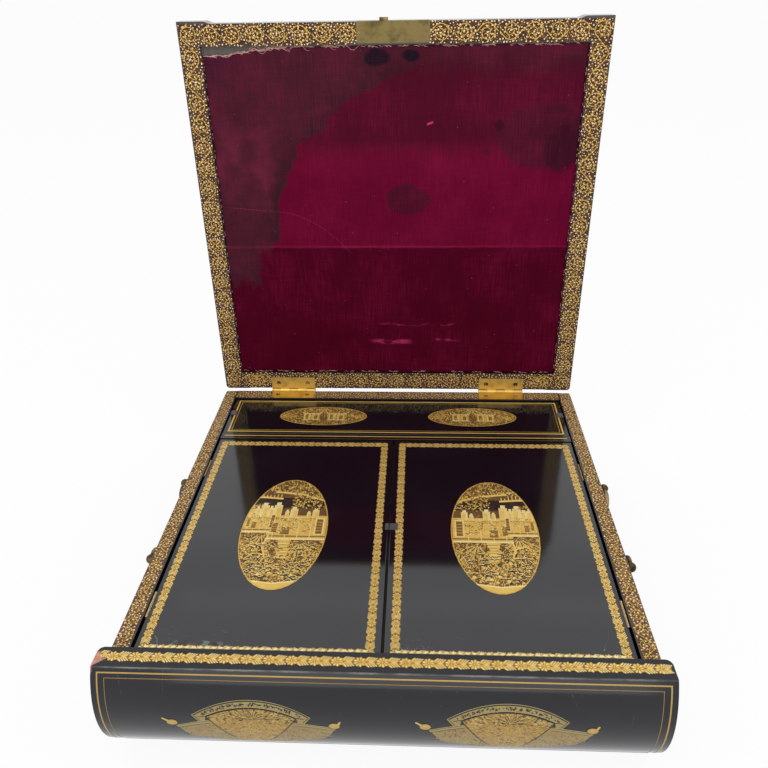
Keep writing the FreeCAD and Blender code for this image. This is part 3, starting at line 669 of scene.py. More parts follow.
    def _worn(self, bench: Bench, point: Socket, x: Signal, z: Signal, streak: Signal) -> Signal:
        """The bright worn marks low in the middle, a white fleck and the long scratch at the left.

        Args:
            bench: Where the nodes are made.
            point: The point in millimetres.
            x: Across, in millimetres.
            z: Up, in millimetres.
            streak: Noise along the pile.

        Returns:
            Where the velvet is worn, 0 to 1.
        """
        rub = bench.noise(bench.stretched(point, (0.25, 1.0, 1.0)), 3.4, 4.0, 0.7)
        high = z.band(139.0, 141.2, 1.2) * x.band(-12.0, 56.0, 8.0) * rub.ramp(0.5, 0.6)
        low = z.band(120.5, 124.5, 1.6) * x.band(-20.0, 12.0, 7.0) * rub.ramp(0.42, 0.55)
        low = low.most(z.band(123.5, 125.5, 1.2) * x.band(36.0, 58.0, 5.0) * rub.ramp(0.45, 0.6))
        bow = z - 249.4 + (x + 143.0) * 0.09 + ((x + 98.0).most(0.0) ** 2.0) * 0.0089
        scratch = bow.band(-0.22, 0.22, 0.3) * x.band(-142.0, -38.0, 3.0) * streak.ramp(0.3, 0.6) * 0.6
        fleck = ((z - 317.0) - (x - 28.9) * 0.35).band(-0.8, 0.8, 0.4) * x.band(26.6, 31.2, 0.6)
        return (high * 0.4 + low * 0.55 + scratch * 0.5 + fleck * 0.8).least(1.0)


@dataclass(frozen=True)
class Ribbon:
    """Faded silk ribbon with a fine plain weave."""

    warp: Colour = linear(70, 70, 66)
    weft: Colour = linear(44, 44, 42)
    thread: float = 0.42

    def make(self, name: str) -> Material:
        """Build the material.

        Args:
            name: The material's name.

        Returns:
            The material.
        """
        bench = Bench(name)
        point = bench.object_mm()
        x, y, _ = bench.axes(point)
        turn = 2 * math.pi / self.thread
        weave = (x * turn).sine() * (y * turn).sine() * 0.5 + 0.5
        colour = bench.blend(weave, self.weft, self.warp)
        return bench.finish(
            Base_Color=colour, Roughness=0.62 + weave * 0.1, Sheen_Weight=0.2, Normal=bench.bump(weave, 0.06),
        )


@dataclass(frozen=True)
class Plain:
    """A quiet finish for what is seldom seen: inner wood, spring steel, loose threads."""

    colour: Colour = linear(40, 30, 27)
    second: Colour = linear(54, 38, 32)
    rough: float = 0.45
    metallic: float = 0.0
    size: float = 9.0
    specular: float = 0.5

    def make(self, name: str) -> Material:
        """Build the material.

        Args:
            name: The material's name.

        Returns:
            The material.
        """
        bench = Bench(name)
        point = bench.object_mm()
        streaks = bench.noise(bench.stretched(point, (0.15, 1.0, 1.0)), self.size * 0.3, 4.0, 0.6)
        colour = bench.blend(streaks.ramp(0.3, 0.7), self.colour, self.second)
        return bench.finish(
            Base_Color=colour, Metallic=self.metallic, Specular_IOR_Level=self.specular,
            Roughness=self.rough + streaks * 0.1, Normal=bench.bump(streaks, 0.04),
        )


# Flat painting


def on_top(height: float) -> Place:
    """Put a flat drawing on a face that looks up, at one height in millimetres."""
    return lambda x, y, lift: Vector((x, y, height + lift)) * MM


def on_lid_inside(face: float) -> Place:
    """Put a flat drawing on the open lid's inner face, which looks to the front."""
    return lambda x, y, lift: Vector((x, face - lift, y)) * MM


def on_lid_outside(face: float, turned: float) -> Place:
    """Put a drawing on the lid's outer face, upright for a reader in front of the closed box."""
    return lambda x, y, lift: Vector((x, face + lift, turned - y)) * MM


def on_side(side: int, face: float) -> Place:
    """Put a flat drawing on a side of the case, its x running along the side."""
    return lambda x, y, lift: Vector((side * (face + lift), side * x, y)) * MM


def on_back(face: float) -> Place:
    """Put a flat drawing on the back of the case."""
    return lambda x, y, lift: Vector((-x, face + lift, y)) * MM


def clip(points: Sequence[Point], a: float, b: float, limit: float) -> list[Point]:
    """Cut a polygon along the line a*x + b*y = limit and keep the side below the limit.

    Args:
        points: The polygon.
        a: Factor of x.
        b: Factor of y.
        limit: Where the line lies.

    Returns:
        What is left of the polygon.
    """
    kept = []
    for index, current in enumerate(points):
        before = points[index - 1]
        now_out = a * current[0] + b * current[1] - limit
        was_out = a * before[0] + b * before[1] - limit
        if (now_out > 0) != (was_out > 0):
            share = was_out / (was_out - now_out)
            kept.append(
                (before[0] + share * (current[0] - before[0]), before[1] + share * (current[1] - before[1]))
            )
        if now_out <= 0:
            kept.append(current)
    return kept


LEAF = ((0, 0), (0.35, 0.5), (0.7, 0.42), (1, 0), (0.7, -0.42), (0.35, -0.5))
COMMA = ((0, -0.28), (0.3, -0.5), (0.62, -0.34), (1, 0.1), (0.6, 0.3), (0.3, 0.5), (0.04, 0.3))


def round_points(
    a: float, b: float, sides: int, closed: bool = False, x: float = 0.0, y: float = 0.0
) -> list[Point]:
    """Corners of an oval.

    Args:
        a: Half its width.
        b: Half its height.
        sides: Number of sides.
        closed: Whether it ends on its first corner.
        x: Its middle.
        y: Its middle.

    Returns:
        The corners.
    """
    turn = 2 * math.pi / sides
    return [(x + a * math.cos(k * turn), y + b * math.sin(k * turn)) for k in range(sides + closed)]


class Sketch:
    """A flat drawing in millimetres: polygons that each have a tone and a layer."""

    layer_step = 0.02
    order_step = 0.0006
    orders = 31
    lift = 0.05

    def __init__(self) -> None:
        """Start an empty drawing."""
        self.shapes: list[tuple[list[Point], float, int]] = []

    def add(self, points: Iterable[Point], tone: float, layer: int = 0) -> None:
        """Add one polygon.

        Args:
            points: Its corners.
            tone: Its tone, 0 dark to 1 pale.
            layer: Higher layers cover lower ones.
        """
        corners = list(points)
        area = sum(p[0] * q[1] - q[0] * p[1] for p, q in zip(corners, corners[1:] + corners[:1]))
        if abs(area) > 1e-4:
            self.shapes.append((corners if area > 0 else corners[::-1], tone, layer))

    def box(self, x0: float, y0: float, x1: float, y1: float, tone: float, layer: int = 0) -> None:
        """Add an upright rectangle."""
        self.add(((x0, y0), (x1, y0), (x1, y1), (x0, y1)), tone, layer)

    def oval(
        self, x: float, y: float, a: float, b: float, tone: float, layer: int = 0, sides: int = 8
    ) -> None:
        """Add an oval with a number of sides."""
        self.add(round_points(a, b, sides, False, x, y), tone, layer)

    def stroke(
        self, points: Sequence[Point], width: float, tone: float, layer: int = 0,
        tail: Optional[float] = None,
    ) -> None:
        """Add a brush stroke along a line.

        Args:
            points: The line.
            width: Its width at the start.
            tone: Its tone.
            layer: Its layer.
            tail: Its width at the end, if that differs.
        """
        end = width if tail is None else tail
        count = len(points) - 1
        sides = []
        for index, point in enumerate(points):
            before = points[max(index - 1, 0)]
            after = points[min(index + 1, count)]
            dx, dy = after[0] - before[0], after[1] - before[1]
            run = math.hypot(dx, dy) or 1.0
            half = (width + (end - width) * index / count) / 2
            sides.append(
                (
                    (point[0] - dy / run * half, point[1] + dx / run * half),
                    (point[0] + dy / run * half, point[1] - dx / run * half),
                )
            )
        for (left0, right0), (left1, right1) in zip(sides, sides[1:]):
            self.add((left0, right0, right1, left1), tone, layer)

    def frame(self, area: Box, width: float, tone: float, layer: int = 0) -> None:
        """Add a rectangle's outline with mitred corners, drawn inwards from its sides.

        Args:
            area: The rectangle as (x0, y0, x1, y1).
            width: The line's width.
            tone: Its tone.
            layer: Its layer.
        """
        x0, y0, x1, y1 = area
        outer = ((x0, y0), (x1, y0), (x1, y1), (x0, y1))
        inner = (
            (x0 + width, y0 + width), (x1 - width, y0 + width), (x1 - width, y1 - width),
            (x0 + width, y1 - width),
        )
        for k in range(4):
            m = (k + 1) % 4
            self.add((outer[k], outer[m], inner[m], inner[k]), tone, layer)

    def shape(
        self, outline: Iterable[Point], x: float, y: float, angle: float, length: float, width: float,
        tone: float, layer: int,
    ) -> None:
        """Add an outline of unit size, scaled and turned.

        Args:
            outline: Its corners, starting at (0, 0).
            x: Where it starts.
            y: Where it starts.
            angle: Its direction in radians.
            length: Its length.
            width: Its width.
            tone: Its tone.
            layer: Its layer.
        """
        cosine, sine = math.cos(angle), math.sin(angle)
        corners = [
            (x + cosine * u * length - sine * v * width, y + sine * u * length + cosine * v * width)
            for u, v in outline
        ]
        self.add(corners, tone, layer)

    def leaf(
        self, x: float, y: float, angle: float, length: float, width: float, tone: float, layer: int = 0
    ) -> None:
        """Add a pointed leaf from its stalk in one direction, in radians."""
        self.shape(LEAF, x, y, angle, length, width, tone, layer)

    def comma(
        self, x: float, y: float, angle: float, length: float, width: float, bend: float, tone: float,
        layer: int = 0,
    ) -> None:
        """Add a comma-shaped leaf with a round head and a bent tail."""
        bent = ((u, v + bend * u * u) for u, v in COMMA)
        self.shape(bent, x, y, angle, length, width, tone, layer)

    def within(self, edges: Sequence[Corner]) -> "Sketch":
        """Keep what lies inside a convex region.

        Args:
            edges: The region's sides as (a, b, limit), with a*x + b*y at most limit.

        Returns:
            The cut drawing.
        """
        kept = Sketch()
        for points, tone, layer in self.shapes:
            for a, b, limit in edges:
                points = clip(points, a, b, limit)
                if len(points) < 3:
                    break
            if len(points) >= 3:
                kept.add(points, tone, layer)
        return kept

    def sliced(self, step: float) -> "Sketch":
        """Cut every polygon into level strips, so that the drawing can follow a round face.

        Args:
            step: Height of the strips.

        Returns:
            The cut drawing.
        """
        cut = Sketch()
        for points, tone, layer in self.shapes:
            low = min(p[1] for p in points)
            high = max(p[1] for p in points)
            first, last = math.floor(low / step), math.ceil(high / step)
            for k in range(first, last):
                piece = clip(clip(points, 0, 1, (k + 1) * step), 0, -1, -k * step)
                if len(piece) >= 3:
                    cut.add(piece, tone, layer)
        return cut

    def merge(self, other: "Sketch", x: float = 0.0, y: float = 0.0, flip: bool = False) -> None:
        """Add another drawing at a place, mirrored left to right if asked.

        Args:
            other: The other drawing.
            x: Where its middle goes.
            y: Where its middle goes.
            flip: Whether it is mirrored.
        """
        sign = -1 if flip else 1
        for points, tone, layer in other.shapes:
            self.add([(x + sign * px, y + py) for px, py in points], tone, layer)

    def mesh(self, name: str, place: Place, material: Material) -> Piece:
        """Turn the drawing into a piece.

        Args:
            name: The piece's name.
            place: Where a point of the drawing lies, for (x, y, height above the face).
            material: Its material.

        Returns:
            The piece, linked to the scene.
        """
        points: list[Vector] = []
        faces: list[list[int]] = []
        tones: list[float] = []
        for index, (corners, tone, layer) in enumerate(self.shapes):
            height = self.lift + layer * self.layer_step + index % self.orders * self.order_step
            faces.append(list(range(len(points), len(points) + len(corners))))
            points.extend(place(px, py, height) for px, py in corners)
            tones.append(tone)
        mesh = bpy.data.meshes.new(name)
        mesh.from_pydata([tuple(p) for p in points], [], faces)
        attribute = mesh.attributes.new("tone", "FLOAT", "FACE")
        attribute.data.foreach_set("value", tones)
        mesh.materials.append(material)
        return linked(name, mesh)


def linked(name: str, mesh: Mesh) -> Piece:
    """Make an object of a mesh and link it to the scene.

    Args:
        name: The object's name.
        mesh: Its mesh.

    Returns:
        The object.
    """
    made = bpy.data.objects.new(name, mesh)
    bpy.context.scene.collection.objects.link(made)
    return made


def two_sided(name: str, points: Sequence[Corner], columns: int, turned: bool, material: Material) -> Piece:
    """Close two grids of points, the seen side and the side behind it, into one thin shell.

    Args:
        name: The piece's name.
        points: Both grids in metres, row by row.
        columns: Number of faces along a row.
        turned: Whether the faces of the first grid run clockwise.
        material: Its material.

    Returns:
        The piece, linked to the scene.
    """
    across, layer = columns + 1, len(points) // 2
    rows = layer // across - 1
    faces: list[tuple[int, ...]] = []
    for row in range(rows):
        for column in range(columns):
            a = row * across + column
            b, d = (a + across, a + 1) if turned else (a + 1, a + across)
            c = a + across + 1
            faces += [(a, b, c, d), (a + layer, d + layer, c + layer, b + layer)]
    rim = list(range(columns)) + [columns + across * k for k in range(rows)]
    rim += [rows * across + columns - k for k in range(columns)] + [across * (rows - k) for k in range(rows)]
    for a, b in zip(rim, rim[1:] + rim[:1]):
        faces.append((a, b, b + layer, a + layer) if turned else (b, a, a + layer, b + layer))
    mesh = bpy.data.meshes.new(name)
    mesh.from_pydata(points, [], faces)
    mesh.materials.append(material)
    return linked(name, mesh)


# Geometry Nodes


class Grower(Graph):
    """A Geometry Nodes tree that grows painted ornaments, with named inputs."""

    def __init__(self, name: str, **inputs: str) -> None:
        """Start a tree with a geometry in and out.

        Args:
            name: The tree's name.
            **inputs: Its inputs, as name and kind of socket.
        """
        super().__init__(bpy.data.node_groups.new(name, "GeometryNodeTree"))
        self.tree.is_modifier = True
        self.ids: dict[str, str] = {}
        for key, kind in {
            "Geometry": "Geometry", "Ornaments": "Collection", **inputs, "Material": "Material",
        }.items():
            socket = self.tree.interface.new_socket(key, in_out="INPUT", socket_type="NodeSocket" + kind)
            self.ids[key] = socket.identifier
        self.tree.interface.new_socket("Geometry", in_out="OUTPUT", socket_type="NodeSocketGeometry")
        self.group_in = self.tree.nodes.new("NodeGroupInput")
        self.group_out = self.tree.nodes.new("NodeGroupOutput")

    def given(self, name: str) -> Socket:
        """The socket of a named input."""
        return self.group_in.outputs[name]

    def close(self, values: dict[str, object]) -> None:
        """Put an ornament on each point, realize the instances, set the material and end the tree.

        Args:
            values: Inputs of the node that puts the ornaments on the points.
        """
        chosen = {"Collection": self.given("Ornaments"), "Separate Children": True, "Reset Children": True}
        ornaments = self.node("GeometryNodeCollectionInfo", None, chosen)
        values = {"Instance": ornaments.outputs[0], "Pick Instance": True, **values}
        placed = self.node("GeometryNodeInstanceOnPoints", None, values)
        real = self.node("GeometryNodeRealizeInstances", None, {0: placed.outputs[0]})
        values = {"Geometry": real.outputs[0], "Material": self.given("Material")}
        dressed = self.node("GeometryNodeSetMaterial", None, values)
        self.tree.links.new(dressed.outputs[0], self.group_out.inputs[0])

    def grow(self, name: str, start: Mesh, inputs: dict[str, object], place: Place) -> Piece:
        """Run the tree on a mesh and keep the result as a plain piece.

        Args:
            name: The piece's name.
            start: The mesh that goes in.
            inputs: Values by input name.
            place: Where a point of the drawing's plane lies.

        Returns:
            The piece.
        """
        seed = linked(name + ".start", start)
        modifier = seed.modifiers.new("grow", "NODES")
        modifier.node_group = self.tree
        for key, value in inputs.items():
            modifier[self.ids[key]] = value
        bpy.context.view_layer.update()
        graph = bpy.context.evaluated_depsgraph_get()
        mesh = bpy.data.meshes.new_from_object(
            seed.evaluated_get(graph), preserve_all_data_layers=True, depsgraph=graph
        )
        mesh.name = name
        bpy.data.objects.remove(seed)
        for vertex in mesh.vertices:
            vertex.co = place(vertex.co.x / MM, vertex.co.y / MM, vertex.co.z / MM)
        return linked(name, mesh)


def border_tree() -> Grower:
    """A running border: an ornament on each point of a path, turned to the path's run.

    The path's points carry their ornament's kind.

    Returns:
        The tree, with the inputs Ornaments, Size and Material.
    """
    tree = Grower("Running border", Size="Float")
    curve = tree.node("GeometryNodeMeshToCurve", None, {0: tree.given("Geometry")})
    points = tree.node("GeometryNodeCurveToPoints", {"mode": "EVALUATED"}, {"Curve": curve.outputs[0]})
    settings, values = {"axis": "X", "pivot_axis": "Z"}, {"Vector": points.outputs["Tangent"]}
    turned = tree.node("FunctionNodeAlignRotationToVector", settings, values)
    kind = tree.node("GeometryNodeInputNamedAttribute", {"data_type": "INT"}, {"Name": "kind"})
    tree.close({
        "Points": points.outputs["Points"], "Instance Index": kind.outputs["Attribute"],
        "Rotation": turned.outputs[0], "Scale": tree.given("Size"),
    })
    return tree


def scatter_tree() -> Grower:
    """Small ornaments scattered over a face, none nearer to the next than a spacing.

    Returns:
        The tree, with the inputs Ornaments, Spacing, Seed and Material.
    """
    tree = Grower("Scattered dots", Spacing="Float", Seed="Int")
    values = {
        "Mesh": tree.given("Geometry"), "Distance Min": tree.given("Spacing"), "Density Max": 900000.0,
        "Seed": tree.given("Seed"),
    }
    points = tree.node("GeometryNodeDistributePointsOnFaces", {"distribute_method": "POISSON"}, values)
    values = {"Max": 2 * math.pi, "Seed": tree.given("Seed")}
    turn = tree.node("FunctionNodeRandomValue", {"data_type": "FLOAT"}, values)
    around = tree.node("ShaderNodeCombineXYZ", None, {"Z": turn.outputs["Value"]})
    size = tree.node("FunctionNodeRandomValue", {"data_type": "FLOAT"}, {2: 0.75, 3: 1.25})
    tree.close({"Points": points.outputs["Points"], "Rotation": around.outputs[0], "Scale": size.outputs[1]})
    return tree


def field_mesh(name: str, boxes: Sequence[Box]) -> Mesh:
    """A mesh of flat rectangles (x0, y0, x1, y1), for scattered dots.

    Args:
        name: The mesh's name.
        boxes: The rectangles, in millimetres.

    Returns:
        The mesh.
    """
    points: list[Corner] = []
    faces: list[tuple[int, int, int, int]] = []
    for x0, y0, x1, y1 in boxes:
        first = len(points)
        points.extend((x * MM, y * MM, 0.0) for x, y in ((x0, y0), (x1, y0), (x1, y1), (x0, y1)))
        faces.append((first, first + 1, first + 2, first + 3))
    mesh = bpy.data.meshes.new(name)
    mesh.from_pydata(points, [], faces)
    return mesh


class OrnamentSet:
    """A collection of small drawings that a tree instances."""

    def __init__(self, name: str, drawings: Sequence[Sketch], material: Material) -> None:
        """Make one object for each drawing.

        Args:
            name: The set's name.
            drawings: The drawings, in the order in which they are picked.
            material: Their material.
        """
        self.collection = bpy.data.collections.new(name)
        bpy.context.scene.collection.children.link(self.collection)
        for index, drawing in enumerate(drawings):
            piece = drawing.mesh("%s.%02d" % (name, index), on_top(0.0), material)
            bpy.context.scene.collection.objects.unlink(piece)
            self.collection.objects.link(piece)

    def clear(self) -> None:
        """Remove the drawings once every piece is grown."""
        for piece in list(self.collection.objects):
            bpy.data.objects.remove(piece)
        bpy.data.collections.remove(self.collection)


def border_path(name: str, runs: Sequence[Sequence[Point]], pitch: float, kinds: int = 2) -> Mesh:
    """A mesh of edges with a point for each ornament and the ornament's kind on it.

    Args:
        name: The mesh's name.
        runs: Straight runs as chains of corners, in millimetres.
        pitch: Distance between ornaments, stretched a little so that a leg has a whole number.
        kinds: How many ornaments take turns.

    Returns:
        The mesh.
    """
    points: list[Corner] = []
    edges: list[tuple[int, int]] = []
    turns: list[int] = []
    for run in runs:
        count = 0
        first = len(points)
        for (x0, y0), (x1, y1) in zip(run, run[1:]):
            steps = max(1, round(math.hypot(x1 - x0, y1 - y0) / pitch / kinds)) * kinds
            for k in range(steps):
                share = k / steps
                points.append(((x0 + share * (x1 - x0)) * MM, (y0 + share * (y1 - y0)) * MM, 0.0))
                turns.append((count + k) % kinds)
            count += steps
        points.append((run[-1][0] * MM, run[-1][1] * MM, 0.0))
        turns.append(count % kinds)
        edges.extend((k, k + 1) for k in range(first, len(points) - 1))
    mesh = bpy.data.meshes.new(name)
    mesh.from_pydata(points, edges, [])
    kind = mesh.attributes.new("kind", "INT", "POINT")
    kind.data.foreach_set("value", turns)
    return mesh


# Painted ornaments


def rosette(length: float, width: float) -> Sketch:
    """The round flower of the leaf border, its petals parted by dark lines.

    Args:
        length: Its length along the border.
        width: Its width across it.

    Returns:
        The drawing.
    """
    drawing = Sketch()
    a, b = length / 2, width / 2
    drawing.oval(0, 0, a * 0.94, b * 0.92, 0.42, 0, 12)
    for k in range(9):
        turn = k * 2 * math.pi / 9
        tip = (a * math.cos(turn), b * math.sin(turn))
        reach, heading = math.hypot(*tip), math.atan2(tip[1], tip[0])
        drawing.leaf(
            0.1 * tip[0], 0.1 * tip[1], heading, reach * 0.98, reach * 0.66, (0.6, 0.72, 0.66)[k % 3], 1,
        )
        drawing.leaf(
            0.4 * tip[0], 0.4 * tip[1], heading, reach * 0.56, reach * 0.2, (0.86, 0.92, 0.82)[k % 3], 2,
        )
        gap = (a * math.cos(turn + 0.35), b * math.sin(turn + 0.35))
        drawing.stroke(((0.3 * gap[0], 0.3 * gap[1]), (0.84 * gap[0], 0.84 * gap[1])), 0.16, 0.1, 3, 0.26)
    drawing.oval(0, 0, a * 0.27, b * 0.25, 0.2, 3, 6)
    drawing.oval(0, 0, a * 0.17, b * 0.16, 0.84, 4, 6)
    return drawing


def winged_leaf(length: float, width: float) -> Sketch:
    """The ear of slim slanting leaves between two flowers of the leaf border.

    Args:
        length: Its length along the border.
        width: Its width across it.

    Returns:
        The drawing.
    """
    drawing = Sketch()
    a, b = length / 2, width / 2
    drawing.add(
        (
            (-a * 1.06, -b * 0.4), (-a * 0.5, -b * 0.86), (a * 0.8, -b * 0.86), (a, 0), (a * 0.8, b * 0.86),
            (-a * 0.5, b * 0.86), (-a * 1.06, b * 0.4),
        ),
        0.36,
    )
    for sign in (1, -1):
        for k, root in enumerate((-1.16, -0.78, -0.4, -0.02)):
            lean = sign * (0.86 - 0.07 * k)
            long = b * 1.36
            foot = 0.05 * b * sign
            drawing.leaf(a * root, foot, lean, long, b * 0.56, 0.62 + 0.04 * k, 1 + k % 2)
            for shift, wide, tone in ((0.0, 0.2, 0.9), (0.25, 0.16, 0.16)):
                x = a * root + b * shift
                tip = (x + long * 0.92 * math.cos(lean), foot + long * 0.92 * math.sin(lean))
                middle = (x + long * 0.3 * math.cos(lean), foot + long * 0.3 * math.sin(lean))
                drawing.stroke((middle, tip), b * wide * 0.5, tone, 3, b * wide)
    drawing.stroke(((-a * 1.05, 0), (a * 0.8, 0)), 0.36, 0.14, 4)
    drawing.leaf(-a * 0.6, 0.0, 0.0, a * 1.2, b * 0.2, 0.84, 5)
    return drawing


def vine(pitch: float, height: float, side: int, seed: int) -> Sketch:
    """A curl of the scroll: half a wave of stem, a spiral under it and small leaves.

    Args:
        pitch: Length of the half wave.
        height: How far the wave goes from the band's middle.
        side: 1 where the wave goes up, -1 where it goes down.
        seed: Seed of the leaves' sizes and tones.

    Returns:
        The drawing.
    """
    drawing = Sketch()
    chance = random.Random(seed)
    stem = []
    for k in range(9):
        x = (k / 8 - 0.5) * pitch
        stem.append((x, side * height * math.cos(math.pi * x / pitch)))
    drawing.stroke(stem, 0.44, 0.62, 2)
    start = (pitch * 0.28, height * math.cos(math.pi * 0.28) + height * 0.1)
    reach, first = math.hypot(*start), math.atan2(start[1], start[0])
    curl = []
    for k in range(19):
        share = k / 18
        angle = first - share * 2 * math.pi * 1.5
        away = reach * (1 - share) + 0.7 * share
        x, y = away * math.cos(angle), away * math.sin(angle) - height * 0.1
        curl.append((x, side * y))
        if k % 2:
            continue
        out = math.atan2(side * math.sin(angle), math.cos(angle))
        size = chance.uniform(0.8, 1.15)
        drawing.comma(
            x + 0.3 * math.cos(out), side * y + 0.3 * math.sin(out), out - side * chance.uniform(0.3, 1.1),
            size * 1.2, size * 0.7, 0.5 * side, chance.choice((0.56, 0.7, 0.86)), 3,
        )
    drawing.stroke(curl, 0.42, 0.62, 2, 0.28)
    drawing.oval(0, -side * height * 0.1, 0.55, 0.5, 0.9, 2, 6)
    return drawing


def dabs(size: float, marks: Sequence[Corner], layer: int) -> list[Sketch]:
    """Small irregular marks that fill the ground of the scroll.

    Args:
        size: Their size in millimetres.
        marks: Tone, length and width of each, the last two as shares of the size.
        layer: Their layer.

    Returns:
        One drawing for each mark.
    """
    drawings = []
    for tone, long, wide in marks:
        drawing = Sketch()
        a, b = size * long / 2, size * wide / 2
        drawing.add(
            (
                (-a, -b * 0.3), (-a * 0.2, -b), (a * 0.8, -b * 0.7), (a, b * 0.4), (0.0, b),
                (-a * 0.8, b * 0.7),
            ),
            tone, layer,
        )
        drawings.append(drawing)
    return drawings


LEAF_PITCH = 5.85
STRIP = 2.0
DOT_SPACING = 2.05
STROKE_SPACING = 1.35
PALE_DOTS = ((0.8, 1.1, 0.85), (0.9, 0.95, 0.95), (0.96, 1.15, 0.75), (1.0, 0.9, 0.9))
DIM_STROKES = ((0.38, 1.5, 0.4), (0.48, 1.7, 0.36), (0.6, 1.3, 0.4), (0.68, 1.0, 0.5))


class Garden:
    """A garden scene in an oval: trees, a pavilion with windows, steps, plants and rocks."""

    def __init__(self, half_x: float, half_y: float, seed: int) -> None:
        """Start a scene.

        Args:
            half_x: Half the oval's width.
            half_y: Half its height.
            seed: Seed of the brush strokes.
        """
        self.half_x, self.half_y = half_x, half_y
        self.chance = random.Random(seed)
        self.between = self.chance.uniform
        self.sketch = Sketch()

    def draw(self, side: int) -> Sketch:
        """Paint the whole scene.

        Args:
            side: 1 as it is, -1 mirrored left to right.

        Returns:
            The drawing round the oval's middle.
        """
        a, b = self.half_x, self.half_y
        s = self.sketch
        s.box(-a, -b, a, b, 0.26, 0)
        self.plants((-a, b * 0.7, a, b), 0.5, 1, 0.6)
        s.box(-a, b * 0.42, a, b * 0.62, 0.0, 3)
        self.plants((-a, b * 0.4, -a * 0.05, b * 0.72), 0.9, 4, 0.58)
        self.plants((a * 0.5, b * 0.36, a * 0.95, b * 0.5), 0.9, 4, 0.56)
        self.terrace((-a * 0.9, b * 0.56, a * 0.4, b * 0.74))
        self.terrace((a * 0.2, b * 0.6, a, b * 0.63))
        self.hatch((a * 0.1, b * 0.4, a, b * 0.54), 1.1, 0.3, 0.26)
        for x, top, wide in (
            (-0.66, 0.38, 0.08), (-0.5, 0.33, 0.05), (-0.14, 0.4, 0.09), (0.02, 0.35, 0.05),
            (0.26, 0.47, 0.1), (0.42, 0.41, 0.06), (0.58, 0.46, 0.1), (0.74, 0.4, 0.06), (0.88, 0.42, 0.08),
        ):
            self.screen(a * x, b * 0.2, a * wide, b * (top - 0.2))
        self.pavilion((-a * 0.96, -b * 0.18, a * 0.4, b * 0.27))
        self.pavilion((a * 0.24, -b * 0.06, a * 0.97, b * 0.33))
        self.plants((-a, -b * 0.9, a, -b * 0.2), 1.0, 1, 0.56)
        self.plants((a * 0.2, -b * 0.4, a, -b * 0.06), 1.0, 1, 0.52)
        for x, y, reach, first, last, count in (
            (-0.42, -0.22, 0.5, -2.9, -0.9, 13), (0.52, -0.1, 0.5, -2.5, -0.4, 13),
            (0.28, -0.4, 0.4, -2.3, -0.5, 10), (-0.82, -0.34, 0.36, -2.4, -0.7, 9),
            (0.02, -0.56, 0.3, -2.7, -0.5, 10),
        ):
            self.weeping(a * x, b * y, b * reach, first, last, count)
        self.steps(-a * 0.06, -b * 0.5, a * 0.16, b * 0.33)
        self.branch(((0.34, -0.1), (0.42, -0.3), (0.32, -0.46), (0.38, -0.58)))
        self.branch(((0.36, -0.3), (0.62, -0.24), (0.9, -0.32)))
        self.branch(((0.34, -0.44), (0.6, -0.42), (0.76, -0.52)))
        for _ in range(30):
            x, y = self.between(-a * 0.8, a * 0.75), self.between(-b * 0.84, -b * 0.26)
            self.squiggle(x, y, a * 0.2)
        for side_x in (-0.5, 0.3):
            for _ in range(9):
                x, y = a * (side_x + self.between(-0.2, 0.3)), -b * self.between(0.62, 0.86)
                self.squiggle(x, y, a * 0.22)
        self.rocks((-a * 0.7, -b * 0.86, a * 0.5, -b * 0.66), 20)
        s.add(((-a, -b), (a, -b), (a * 0.5, -b * 0.87), (0, -b * 0.91), (-a * 0.5, -b * 0.86)), 0.76, 7)
        s.stroke(((-a * 0.6, -b * 0.85), (0, -b * 0.9), (a * 0.6, -b * 0.86)), b * 0.02, 0.94, 8)
        scene = self.trimmed()
        if side > 0:
            return scene
        mirrored = Sketch()
        mirrored.merge(scene, flip=True)
        return mirrored

    def trimmed(self) -> Sketch:
        """Cut the scene to the oval and give it its rim.

        Returns:
            The cut drawing.
        """
        sides = round_points(1 / self.half_x, 1 / self.half_y, 40)
        kept = self.sketch.within([(u, v, 1.0) for u, v in sides])
        kept.stroke(round_points(self.half_x * 0.985, self.half_y * 0.99, 60, True), 0.7, 0.66, 8)
        return kept

    def plants(self, area: Box, spread: float, layer: int, tone: float) -> None:
        """Fill a box with short leaves.

        Args:
            area: The box as (x0, y0, x1, y1).
            spread: How far the leaves' directions differ, in radians.
            layer: Their layer.
            tone: Their middle tone.
        """
        x0, y0, x1, y1 = area
        size = self.half_x * 0.052
        count = int((x1 - x0) * (y1 - y0) / (size * size) * 1.5)
        for k in range(count):
            x, y = self.between(x0, x1), self.between(y0, y1)
            angle = math.pi / 2 + self.between(-spread, spread) * 1.6
            shade = 0.1 if k % 6 == 0 else tone + self.between(-0.16, 0.32)
            self.sketch.leaf(
                x, y, angle, size * self.between(0.9, 1.7), size * self.between(0.35, 0.6),
                shade, layer + self.chance.randint(0, 1),
            )

    def hatch(self, area: Box, step: float, slope: float, tone: float) -> None:
        """Fill a box with slanting strokes.

        Args:
            area: The box as (x0, y0, x1, y1).
            step: Distance between the strokes.
            slope: Their slope.
            tone: Their middle tone.
        """
        x0, y0, x1, y1 = area
        self.sketch.box(x0, y0, x1, y1, max(tone - 0.28, 0.0), 1)
        x = x0 - abs(slope) * (y1 - y0)
        while x < x1 + abs(slope) * (y1 - y0):
            run = (y1 - y0) * slope
            line = [(x, y0), (x + run / 2 + self.between(-0.3, 0.3), (y0 + y1) / 2), (x + run, y1)]
            part = Sketch()
            part.stroke(line, step * 0.4, tone + self.between(-0.12, 0.18), 2)
            self.sketch.merge(part.within(((1, 0, x1), (-1, 0, -x0))))
            x += step

